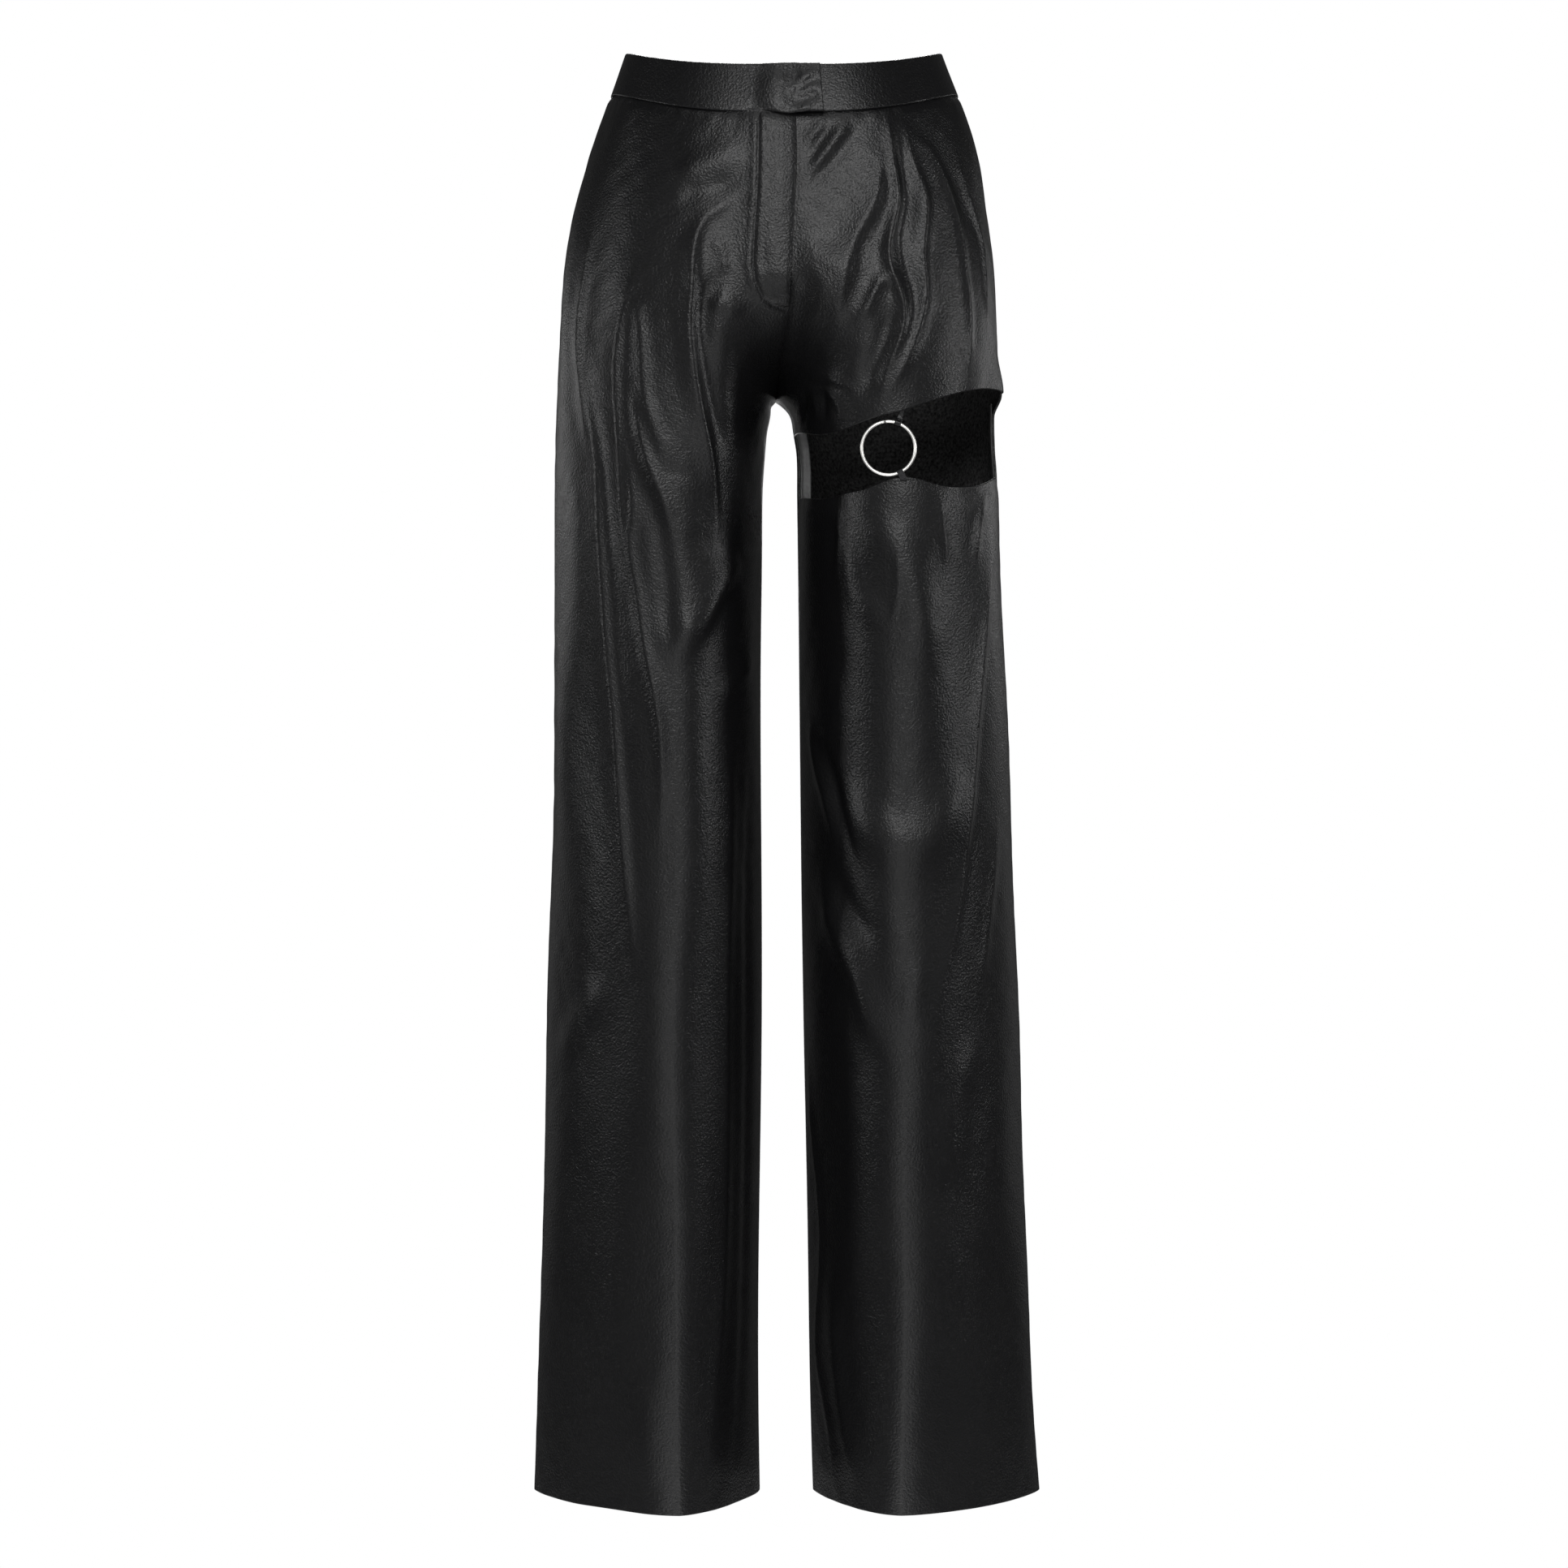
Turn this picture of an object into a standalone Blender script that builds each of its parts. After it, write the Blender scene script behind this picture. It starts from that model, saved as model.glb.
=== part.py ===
"""Wide-leg leather trousers with a ringed cut-out on the left thigh: hollow, and filled out as if worn.

Metres. +Z is up, the front faces -Y and the wearer's left is +X. The origin is in the middle of the waist,
level with the middle of the waistband at the side seams.

Each leather panel is a wall whose outer face follows surface(side, half, u, z). side is RIGHT or LEFT, half
is FRONT or BACK, z is the height, and u runs round the panel from the outseam at 0 to its inner edge at 1.
The inner edge is the front or back rise above the crotch, and the inseam below it.
"""

import math
from collections import namedtuple

import bpy
import numpy as np
from mathutils import Matrix, Vector

MM = 0.001
RIGHT, LEFT = -1, 1
FRONT, BACK = -1, 1

# Cloth
WALL = 0.0016
BAND_WALL = 0.0024
SEAM_GAP = 0.0003
CLEAR = 0.0008  # between a panel's curved inner face and a piece that lies against it

# Heights. The waistband's edges are given at the side seams, and sink from there to the middle of the front.
BAND_TOP, BAND_SEAM = 0.0164, -0.0166
TOP_DIP, TOP_RISE, TOP_DIP_SHAPE = 0.0250, 0.0040, 1.6
SEAM_DIP, SEAM_RISE, SEAM_DIP_SHAPE = 0.0285, 0.0030, 2.0
DIP_FADE = -0.1500  # by this height the panels' rows are level
CROTCH, CROTCH_X = -0.2480, -0.0062
HEM = -1.0785

# The rises: how far each curves under before the crotch, and how deep the seam lies, as a share of the depth
FRONT_HOOK, BACK_HOOK = 0.0860, 0.1250
FRONT_SEAM_DEPTH, BACK_SEAM_DEPTH = 0.985, 0.930

# Below the crotch the legs part: over SLIT_SPREAD of height, and most of all near the inseams
SLIT_SPREAD, SLIT_TIGHTNESS = 0.0900, 4

# Fly: a flap of the right front that lies over the left front, from the waistband to FLY_END
FLY_END = -0.1900
FLY_WIDTH, FLY_CURVE = 0.0270, 0.0300
FLY_LIFT, FLY_RAMP = 0.0023, 0.0180
FLY_UNDERLAP, TUCK_END = 0.0070, -0.1740
FLY_BLEND = 0.0180

# The waistband's tab is the end of the right half, and lies over the end of the left half
TAB_START, TAB_END = 0.0125, 0.0270
TAB_COLUMNS = 4
TAB_LIFT, TAB_LIFT_START, TAB_RAMP = 0.0031, -0.0225, 0.0220
TAB_SAG, TAB_SAG_X, TAB_SAG_WIDTH = 0.0025, 0.0040, 0.0160

# Zip behind the fly
ZIP_TOP, ZIP_BOTTOM = -0.0500, -0.1780
ZIP_TAPE_WIDTH, ZIP_TAPE = 0.0240, 0.0008
ZIP_CHAIN_WIDTH, ZIP_CHAIN = 0.0050, 0.0012
ZIP_ROWS = 12
ZIP_INSET = 0.0010  # the zip's depth is read this far inside the left front's edge
SLIDER_WIDTH, SLIDER_HEIGHT, SLIDER_DEPTH = 0.0075, 0.0100, 0.0020

# Ring across the cut-out, and its keepers, whose angles run clockwise from straight up, seen from the front
RING_X, RING_Z = 0.0767, -0.2933
RING_RADIUS, WIRE_RADIUS = 0.01965, 0.0012
UPPER_KEEPER_ANGLE, LOWER_KEEPER_ANGLE = math.radians(20.5), math.radians(154.0)
KEEPER_BORE, KEEPER_STRAP, KEEPER_WIDTH = 0.0017, 0.0008, 0.0036
KEEPER_UNDER = 0.0060  # how far its tail runs in under the panel
LOOP_POINTS, BORE_POINTS = 17, 12

# Seam allowances inside the left leg, behind the cut-out: distances from the seam, round the leg
ALLOWANCE = 0.0012
ALLOWANCE_TOP, ALLOWANCE_BOTTOM = -0.2490, -0.3500
INSEAM_ALLOWANCE = (0.0080, 0.0240)
OUTSEAM_ALLOWANCE = (0.0030, 0.0130)

# The outer corner of the left front flares where the cut-out opens
FLARE, FLARE_TOP, FLARE_PEAK, FLARE_BOTTOM, FLARE_REACH = 0.0058, -0.2100, -0.2430, -0.2600, 0.0600

# Rows and columns of the panels' grids
FRONT_COLUMNS, BACK_COLUMNS = 20, 14
BACK_BUNCHING = 0.05
MOST_SPARE = 0.35
LEAST_ROW = 0.004  # between the cut-out's edge and the next row
CUT_PASSES = 6
ROWS_ABOVE, ROWS_HOOK, ROWS_LEG, LEG_SPACING = 6, 9, 34, 1.3
ARC_POINTS = 60
NORMAL_STEP = 0.002

# The garment's body, a row for each height. right and left are how far the outseams lie from the middle.
# front and back are the depths, and the apexes are how far from the middle a section is deepest. roundness is
# the exponent of its curves: 2 is an ellipse, and less is flatter-sided.
Section = namedtuple("Section", "z right left front back right_apex left_apex back_apex roundness")
SECTIONS = (
    Section(0.030, 0.1160, 0.1160, 0.0820, 0.0830, 0.0200, 0.0220, 0.030, 2.10),
    Section(0.017, 0.1207, 0.1203, 0.0850, 0.0860, 0.0200, 0.0220, 0.030, 2.10),
    Section(-0.017, 0.1325, 0.1333, 0.0935, 0.0960, 0.0210, 0.0240, 0.036, 2.10),
    Section(-0.040, 0.1410, 0.1418, 0.0980, 0.1030, 0.0240, 0.0280, 0.042, 2.10),
    Section(-0.070, 0.1505, 0.1498, 0.1020, 0.1120, 0.0300, 0.0340, 0.050, 2.10),
    Section(-0.100, 0.1590, 0.1540, 0.1045, 0.1190, 0.0380, 0.0420, 0.058, 2.10),
    Section(-0.140, 0.1670, 0.1595, 0.1065, 0.1250, 0.0500, 0.0540, 0.068, 2.10),
    Section(-0.180, 0.1705, 0.1617, 0.1078, 0.1260, 0.0620, 0.0660, 0.076, 2.10),
    Section(-0.220, 0.1723, 0.1625, 0.1080, 0.1220, 0.0720, 0.0770, 0.082, 2.05),
    Section(-0.260, 0.1735, 0.1615, 0.1072, 0.1150, 0.0770, 0.0830, 0.087, 2.00),
    Section(-0.310, 0.1742, 0.1635, 0.1052, 0.1080, 0.0790, 0.0860, 0.090, 1.95),
    Section(-0.370, 0.1746, 0.1650, 0.1030, 0.1020, 0.0800, 0.0870, 0.092, 1.90),
    Section(-0.490, 0.1760, 0.1705, 0.1000, 0.0960, 0.0810, 0.0880, 0.093, 1.80),
    Section(-0.620, 0.1780, 0.1760, 0.0980, 0.0950, 0.0810, 0.0890, 0.095, 1.70),
    Section(-0.740, 0.1812, 0.1800, 0.0975, 0.0960, 0.0810, 0.0890, 0.098, 1.60),
    Section(-0.865, 0.1850, 0.1843, 0.0975, 0.0980, 0.0800, 0.0890, 0.100, 1.52),
    Section(-0.990, 0.1881, 0.1900, 0.0980, 0.1000, 0.0785, 0.0880, 0.102, 1.48),
    Section(-1.085, 0.1914, 0.1958, 0.0980, 0.1010, 0.0765, 0.0860, 0.104, 1.45),
)

# The x of each inseam, either side of the space between the legs
Slit = namedtuple("Slit", "z right left")
SLIT = (
    Slit(-0.2480, -0.0064, -0.0060),
    Slit(-0.2505, -0.0088, -0.0025),
    Slit(-0.2560, -0.0100, 0.0030),
    Slit(-0.2680, -0.0122, 0.0064),
    Slit(-0.2830, -0.0140, 0.0088),
    Slit(-0.3100, -0.0160, 0.0098),
    Slit(-0.3500, -0.0166, 0.0102),
    Slit(-0.4300, -0.0174, 0.0112),
    Slit(-0.6200, -0.0168, 0.0130),
    Slit(-0.7400, -0.0168, 0.0149),
    Slit(-0.8650, -0.0185, 0.0174),
    Slit(-0.9900, -0.0192, 0.0192),
    Slit(-1.0850, -0.0180, 0.0218),
)

# The x of the front rise, which is the flap's edge down to FLY_END, and of the back rise
Rise = namedtuple("Rise", "z front back")
RISES = (
    Rise(0.030, 0.0082, 0.0),
    Rise(-0.046, 0.0084, 0.0),
    Rise(-0.078, 0.0093, 0.0),
    Rise(-0.120, 0.0076, -0.0005),
    Rise(-0.165, 0.0053, -0.0015),
    Rise(-0.195, 0.0030, -0.0030),
    Rise(-0.217, -0.0012, -0.0042),
    Rise(-0.248, -0.0062, -0.0062),
)

# The cut-out's two edges across the left front, from the inseam to the outseam
Edge = namedtuple("Edge", "x upper lower")
CUT_OUT = (
    Edge(0.0080, -0.2748, -0.3215),
    Edge(0.0250, -0.2805, -0.3272),
    Edge(0.0370, -0.2804, -0.3266),
    Edge(0.0470, -0.2780, -0.3247),
    Edge(0.0600, -0.2735, -0.3225),
    Edge(0.0710, -0.2700, -0.3182),
    Edge(0.0820, -0.2676, -0.3153),
    Edge(0.0940, -0.2641, -0.3147),
    Edge(0.1060, -0.2598, -0.3172),
    Edge(0.1165, -0.2558, -0.3198),
    Edge(0.1285, -0.2515, -0.3202),
    Edge(0.1400, -0.2477, -0.3188),
    Edge(0.1520, -0.2443, -0.3148),
    Edge(0.1625, -0.2422, -0.3070),
)
# Between these heights the rows bend to the cut-out's edges
CUT_SPREAD_TOP, CUT_SPREAD_BOTTOM = -0.2000, -0.4200

# Folds, in millimetres: a soft ridge, or a trough where the height is below 0, along a path of (x, z) points.
# Each fades at its ends.
Fold = namedtuple("Fold", "half width height path")
FOLDS = (
    # right front: the hooked fold beside the fly, with the trough inside it
    Fold(FRONT, 12, 7.0, ((-48, -122), (-63, -145), (-67, -200), (-62, -270), (-48, -325))),
    Fold(FRONT, 13, -6.5, ((-52, -150), (-58, -200), (-50, -262), (-35, -300))),
    # right front: long folds that fall from the hip
    Fold(FRONT, 14, 5.5, ((-111, -150), (-121, -245), (-118, -310), (-114, -400))),
    Fold(FRONT, 13, 4.0, ((-107, -235), (-92, -305), (-75, -385))),
    Fold(FRONT, 16, 5.5, ((-150, -115), (-160, -180), (-145, -280), (-132, -420), (-113, -670))),
    Fold(FRONT, 12, 3.5, ((-119, -385), (-101, -450), (-90, -515), (-92, -580))),
    Fold(FRONT, 14, 5.0, ((-55, -350), (-68, -400), (-77, -440))),
    Fold(FRONT, 12, -3.5, ((-88, -390), (-82, -430), (-79, -470))),
    Fold(FRONT, 13, 3.5, ((-45, -430), (-34, -455), (-26, -475))),
    Fold(FRONT, 12, 4.0, ((-30, -475), (-39, -550), (-43, -780), (-49, -1000), (-57, -1070))),
    Fold(FRONT, 14, 3.0, ((-134, -690), (-152, -718), (-170, -746))),
    # left front: pulls from the waist seam towards the fly, and long folds that fall from the hip
    Fold(FRONT, 10, 3.5, ((56, -46), (41, -62), (28, -79), (14, -100))),
    Fold(FRONT, 15, 5.0, ((67, -105), (55, -145), (40, -205))),
    Fold(FRONT, 10, 6.5, ((78, -46), (83, -100), (77, -150), (88, -195), (70, -262))),
    Fold(FRONT, 10, -4.0, ((87, -50), (91, -125), (88, -158), (95, -180))),
    Fold(FRONT, 11, 5.5, ((92, -48), (104, -88), (104, -168), (95, -215), (83, -256))),
    Fold(FRONT, 13, 5.0, ((108, -65), (126, -115), (136, -180), (138, -240))),
    Fold(FRONT, 14, -6.5, ((76, -200), (65, -236), (54, -268))),
    Fold(FRONT, 10, 4.0, ((16, -236), (32, -246), (53, -254))),
    # left front below the cut-out
    Fold(FRONT, 18, 5.5, ((68, -325), (68, -365), (76, -400), (100, -455))),
    Fold(FRONT, 11, 4.0, ((160, -375), (149, -470), (136, -573), (123, -685))),
    Fold(FRONT, 15, 5.5, ((58, -535), (70, -555), (90, -568), (115, -560), (143, -525))),
    Fold(FRONT, 14, -5.0, ((75, -520), (95, -530), (120, -515))),
    Fold(FRONT, 12, 4.0, ((20, -500), (30, -550), (48, -597))),
    Fold(FRONT, 14, 5.0, ((28, -605), (48, -665), (65, -705), (82, -745))),
    Fold(FRONT, 14, 3.5, ((134, -775), (129, -813), (126, -850))),
    Fold(FRONT, 13, 4.0, ((24, -850), (30, -930), (45, -1018), (54, -1065))),
    # backs: drag lines under the seat and long folds down the legs, unlike on the two sides
    Fold(BACK, 15, -5.5, ((-28, -262), (-70, -242), (-118, -206))),
    Fold(BACK, 14, 5.0, ((-40, -292), (-92, -278), (-140, -246))),
    Fold(BACK, 17, 5.5, ((-128, -300), (-118, -420), (-124, -600))),
    Fold(BACK, 16, 5.0, ((-60, -380), (-72, -520), (-66, -720))),
    Fold(BACK, 17, -4.0, ((-110, -640), (-86, -700), (-50, -735))),
    Fold(BACK, 15, -5.5, ((26, -258), (62, -246), (112, -218))),
    Fold(BACK, 13, 5.0, ((36, -300), (84, -292), (128, -262))),
    Fold(BACK, 17, 5.5, ((136, -280), (122, -430), (130, -640))),
    Fold(BACK, 16, 4.0, ((64, -420), (76, -580), (70, -800))),
    Fold(BACK, 17, -4.0, ((132, -560), (98, -615), (56, -640))),
)
FOLD_FADE = 0.0180  # folds die out over this distance from the rises, the inseams and the waist seam
FOLD_END, FOLD_START = 0.35, 0.15  # a fold grows over this share of its length, and starts from this much

# Colour, roughness and metallic value of each material
LEATHER = ((0.012, 0.012, 0.013, 1.0), 0.42, 0.0)
ZIP_TAPE_FINISH = ((0.015, 0.015, 0.016, 1.0), 0.85, 0.0)
STEEL = ((0.72, 0.72, 0.73, 1.0), 0.18, 1.0)
THREAD = ((0.020, 0.020, 0.022, 1.0), 0.70, 0.0)


def smooth_step(t):
    t = np.clip(t, 0.0, 1.0)
    return t * t * (3.0 - 2.0 * t)


def spline(knots, values):
    """A natural cubic spline through one column of a table, as a function."""
    order = np.argsort(knots)
    k, v = np.asarray(knots, float)[order], np.asarray(values, float)[order]
    n, h = len(k), np.diff(k)
    system, right = np.eye(n), np.zeros(n)
    for i in range(1, n - 1):
        system[i, i - 1 : i + 2] = h[i - 1], 2 * (h[i - 1] + h[i]), h[i]
        right[i] = 6 * ((v[i + 1] - v[i]) / h[i] - (v[i] - v[i - 1]) / h[i - 1])
    bend = np.linalg.solve(system, right)

    def at(x):
        x = np.clip(x, k[0], k[-1])
        i = np.clip(np.searchsorted(k, x) - 1, 0, n - 2)
        a, b = (k[i + 1] - x) / h[i], (x - k[i]) / h[i]
        curved = (a**3 - a) * bend[i] + (b**3 - b) * bend[i + 1]
        return a * v[i] + b * v[i + 1] + curved * h[i] ** 2 / 6

    return at


def columns(table, key):
    """A spline for each column of a table of named rows."""
    values = {name: [getattr(row, name) for row in table] for name in table[0]._fields}
    knots = values.pop(key)
    return {name: spline(knots, column) for name, column in values.items()}


BODY = columns(SECTIONS, "z")
INSEAM = columns(SLIT, "z")
RISE = columns(RISES, "z")
CUT = columns(CUT_OUT, "x")


def inner_edge(side, half, z):
    """How far the panel's inner edge lies from the middle, on its own side."""
    leg = side * INSEAM["right" if side == RIGHT else "left"](z)
    rise = side * RISE["front" if half == FRONT else "back"](z) + SEAM_GAP / 2
    if (side, half) == (LEFT, FRONT):
        rise = rise - FLY_UNDERLAP * smooth_step((z - TUCK_END) / FLY_BLEND)
    return np.where(z >= CROTCH, rise, leg)


def arcs(side, half, z):
    """The panel's section at each height: x, y and arc length from the outseam, at ARC_POINTS * 2 points."""
    z = np.asarray(z, float)[..., None]
    wide = BODY["right" if side == RIGHT else "left"](z)
    deep = BODY["front" if half == FRONT else "back"](z)
    apex = BODY["back_apex" if half == BACK else "right_apex" if side == RIGHT else "left_apex"](z)
    power = 2.0 / BODY["roundness"](z)
    hook = FRONT_HOOK if half == FRONT else BACK_HOOK
    seam_depth = FRONT_SEAM_DEPTH if half == FRONT else BACK_SEAM_DEPTH
    share = seam_depth * (1.0 - np.clip((CROTCH + hook - z) / hook, 0.0, 1.0) ** 2)
    last = np.arcsin(share ** (1.0 / power))
    outer = np.linspace(0.0, math.pi / 2, ARC_POINTS)
    inner = math.pi / 2 + (last - math.pi / 2) * np.linspace(0.0, 1.0, ARC_POINTS + 1)[1:]
    edge = inner_edge(side, half, z)
    parting = smooth_step(1.0 - (CROTCH - z) / SLIT_SPREAD)
    soft = np.where(z < CROTCH, edge + (side * CROTCH_X - edge) * parting, edge)
    reach = (apex - soft) / np.maximum(np.cos(last), 1e-9) ** power
    turn = np.maximum(np.cos(inner), 0.0) ** power
    inner_x = apex - reach * turn - (soft - edge) * turn**SLIT_TIGHTNESS
    outer_x = apex + (wide - apex) * np.maximum(np.cos(outer), 0.0) ** power
    x = np.concatenate((outer_x, inner_x), axis=-1)
    angle = np.concatenate((np.broadcast_to(outer, z.shape[:-1] + outer.shape), inner), axis=-1)
    y = half * (SEAM_GAP / 2 + deep * np.maximum(np.sin(angle), 0.0) ** power)
    steps = np.hypot(np.diff(x, axis=-1), np.diff(y, axis=-1))
    length = np.concatenate((np.zeros_like(z), np.cumsum(steps, axis=-1)), axis=-1)
    return side * x, y, length


def along(values, length, s):
    """values read at arc length s on each section."""
    i = np.clip((length < s[..., None]).sum(axis=-1) - 1, 0, length.shape[-1] - 2)[..., None]
    a, b = (np.take_along_axis(length, j, -1)[..., 0] for j in (i, i + 1))
    v, w = (np.take_along_axis(values, j, -1)[..., 0] for j in (i, i + 1))
    return v + (w - v) * (s - a) / np.maximum(b - a, 1e-12)


PANELS = ((RIGHT, FRONT), (RIGHT, BACK), (LEFT, FRONT), (LEFT, BACK))
LEG_ROUND = {(side, half): arcs(side, half, CROTCH)[2][-1] for side, half in PANELS}


def round_to(side, half, u, length):
    """Arc length from the outseam to column u. Sections are shorter above the crotch. The columns run closer
    together there near the rise, so that further out they stay over those of the leg."""
    total = length[..., -1]
    spare = np.clip(LEG_ROUND[side, half] / total - 1.0, 0.0, MOST_SPARE)
    return total * u * (1.0 + spare * (1.0 - u**2))


def seam_height(side, half, u, edge=BAND_SEAM):
    """Height of the waistband's top or lower edge."""
    x, y, length = arcs(side, half, np.full_like(u, edge))
    depth = np.abs(along(y, length, round_to(side, half, u, length))) / np.abs(y).max(axis=-1)
    if edge == BAND_TOP:
        change = -TOP_DIP * depth**TOP_DIP_SHAPE if half == FRONT else TOP_RISE * depth
    else:
        change = -SEAM_DIP * depth**SEAM_DIP_SHAPE if half == FRONT else SEAM_RISE * depth
    return edge + change


def sag(x):
    """How far the waistband's tab, and the seam under it, hang below the waist seam."""
    return TAB_SAG * smooth_step(1.0 - np.abs(x - TAB_SAG_X) / TAB_SAG_WIDTH)


def laid(fold):
    """A fold's leg, and its path there as (round, z) points: round is arc length from the outseam, below 0 on
    the back."""
    side = RIGHT if fold.path[0][0] < 0 else LEFT
    x, z = np.array(fold.path).T * MM
    across, _, length = arcs(side, fold.half, z)
    nearest = np.abs(across - x[:, None]).argmin(axis=-1)
    return side, np.column_stack((-fold.half * length[np.arange(len(z)), nearest], z))


LAID_FOLDS = [(fold, *laid(fold)) for fold in FOLDS]


def relief(side, half, s, total, z, below_seam):
    """How far the folds move the surface out, at arc length s of total, a distance below the waist seam."""
    round_leg = -half * s
    height = np.zeros_like(z)
    for fold, fold_side, path in LAID_FOLDS:
        if fold_side != side:
            continue
        steps = np.hypot(*np.diff(path, axis=0).T)
        far, place = np.full_like(z, np.inf), np.zeros_like(z)
        for i, step in enumerate(steps):
            (r0, z0), (r1, z1) = path[i], path[i + 1]
            t = np.clip(((round_leg - r0) * (r1 - r0) + (z - z0) * (z1 - z0)) / step**2, 0.0, 1.0)
            away = np.hypot(round_leg - r0 - t * (r1 - r0), z - z0 - t * (z1 - z0))
            place = np.where(away < far, steps[:i].sum() + t * step, place)
            far = np.minimum(far, away)
        ends = smooth_step(np.minimum(place, steps.sum() - place) / (FOLD_END * steps.sum()) + FOLD_START)
        height += fold.height * MM * ends * np.exp(-((far / (fold.width * MM)) ** 2))
    covered = FLY_UNDERLAP if (side, half) == (LEFT, FRONT) else 0.0
    return height * smooth_step((total - s - covered) / FOLD_FADE) * smooth_step(below_seam / FOLD_FADE)


def flap(x, z):
    """How far the fly's flap stands out from the right front."""
    past_curve = np.clip((FLY_END + FLY_CURVE - z) / FLY_CURVE, 0.0, 1.0)
    width = FLY_WIDTH * np.sqrt(1.0 - past_curve**2)
    from_edge = RISE["front"](z) - x
    across = smooth_step((width - from_edge) / FLY_RAMP)
    return FLY_LIFT * np.where(z > FLY_END - FLY_BLEND, across, 0.0)


def flare(s, z):
    """How far the left outseam stands out where the cut-out opens."""
    rise = smooth_step((FLARE_TOP - z) / (FLARE_TOP - FLARE_PEAK))
    fall = smooth_step((z - FLARE_BOTTOM) / (FLARE_PEAK - FLARE_BOTTOM))
    return FLARE * rise * fall * (1.0 - smooth_step(s / FLARE_REACH))


def surface(side, half, u, z, inside=0.0):
    """Points of the panel's outer face, or of the face that lies a distance inside it."""
    x, y, length = arcs(side, half, z)
    total = length[..., -1]
    s = round_to(side, half, u, length)
    at_x, at_y = along(x, length, s), along(y, length, s)
    before, after = np.clip(s - NORMAL_STEP, 0, total), np.clip(s + NORMAL_STEP, 0, total)
    run_x = along(x, length, after) - along(x, length, before)
    run_y = along(y, length, after) - along(y, length, before)
    turn = -side * half / np.hypot(run_x, run_y)
    on_leg_seam = (u <= 0.0) | ((u >= 1.0) & (z < CROTCH))
    out_x = np.where(on_leg_seam, np.where(u <= 0.0, side, -side), -run_y * turn)
    out_y = np.where(on_leg_seam, 0.0, run_x * turn)
    below = seam_height(side, half, u) - z
    lift = relief(side, half, s, total, z, below) - inside
    if side == LEFT:
        lift = lift + flare(s, z)
    if (side, half) == (RIGHT, FRONT):
        lift = lift + flap(at_x, z)
    return np.stack((at_x + out_x * lift, at_y + out_y * lift, z), axis=-1)


def rows(hook):
    """Row heights down a panel's inner edge: even to the hook, close round the crotch, wider down the leg."""
    above = np.linspace(BAND_SEAM, CROTCH + hook, ROWS_ABOVE, endpoint=False)
    curve = CROTCH + hook * np.linspace(1.0, 0.0, ROWS_HOOK)
    leg = CROTCH - (CROTCH - HEM) * (np.arange(1, ROWS_LEG + 1) / ROWS_LEG) ** LEG_SPACING
    return np.concatenate((above, curve, leg))


def dipped(side, half, u, z):
    """Rows at heights z across columns u, bent near the top to follow the waist seam."""
    seam = seam_height(side, half, u) - BAND_SEAM - SEAM_GAP / 2
    if (side, half) == (RIGHT, FRONT):
        seam = seam - sag(surface_x(side, half, u))
    fade = smooth_step((z - DIP_FADE) / (BAND_SEAM - DIP_FADE))
    return z[:, None] + fade[:, None] * seam[None, :]


def surface_x(side, half, u):
    """The x of the panel's points at the waist seam."""
    x, _, length = arcs(side, half, np.full_like(u, BAND_SEAM))
    return along(x, length, round_to(side, half, u, length))


def cut_height(u, edge):
    """Height of the cut-out's upper or lower edge at each column of the left front."""
    z = np.full_like(u, CUT_OUT[0].upper)
    for _ in range(CUT_PASSES):
        x, _, length = arcs(LEFT, FRONT, z)
        z = CUT[edge](along(x, length, round_to(LEFT, FRONT, u, length)))
    return z


def closed_wall(outer, inner):
    """Points and quads of a wall between two grids. The outer face points out when rows run down and columns
    run from the wearer's right to left across the front."""
    down, across = outer.shape[:2]
    count = down * across
    quads = []
    for i in range(down - 1):
        for j in range(across - 1):
            a, b = i * across + j, (i + 1) * across + j
            quads += [(a, b, b + 1, a + 1), (count + a, count + a + 1, count + b + 1, count + b)]
    first, last = range(across), range(count - across, count)
    left, right = range(0, count, across), range(across - 1, count, across)
    for rim in (first, right, last[::-1], left[::-1]):
        quads += [(a, b, count + b, count + a) for a, b in zip(rim, rim[1:])]
    return np.concatenate((outer.reshape(-1, 3), inner.reshape(-1, 3))), quads


def material(name, finish):
    colour, roughness, metallic = finish
    made = bpy.data.materials.new(name)
    made.use_nodes = True
    made.diffuse_color = colour
    shader = made.node_tree.nodes["Principled BSDF"]
    shader.inputs["Base Color"].default_value = colour
    shader.inputs["Roughness"].default_value = roughness
    shader.inputs["Metallic"].default_value = metallic
    return made


def place(mesh, name, finish, collection):
    mesh.shade_smooth()
    mesh.materials.append(material(name + "_finish", finish))
    piece = bpy.data.objects.new(name, mesh)
    collection.objects.link(piece)
    return piece


def wall(name, outer, inner, mirrored, finish, collection):
    """A cloth wall between two grids of points, rows by columns."""
    if mirrored:
        outer, inner = outer[:, ::-1], inner[:, ::-1]
    points, quads = closed_wall(outer, inner)
    mesh = bpy.data.meshes.new(name)
    mesh.from_pydata(points.tolist(), [], quads)
    return place(mesh, name, finish, collection)


def column_places(half):
    """The u of a panel's columns. On the backs they are closer together near the seams."""
    if half == FRONT:
        return np.linspace(0.0, 1.0, FRONT_COLUMNS)
    t = np.linspace(0.0, 1.0, BACK_COLUMNS)
    return t - BACK_BUNCHING * np.sin(2 * math.pi * t)


def panel(name, side, half, heights, collection):
    """One leather panel, from the heights of its rows at each column."""
    u = np.broadcast_to(column_places(half), heights.shape)
    outer, inner = (surface(side, half, u, heights, inside) for inside in (0.0, WALL))
    return wall(name, outer, inner, side * half < 0, LEATHER, collection)


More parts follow.
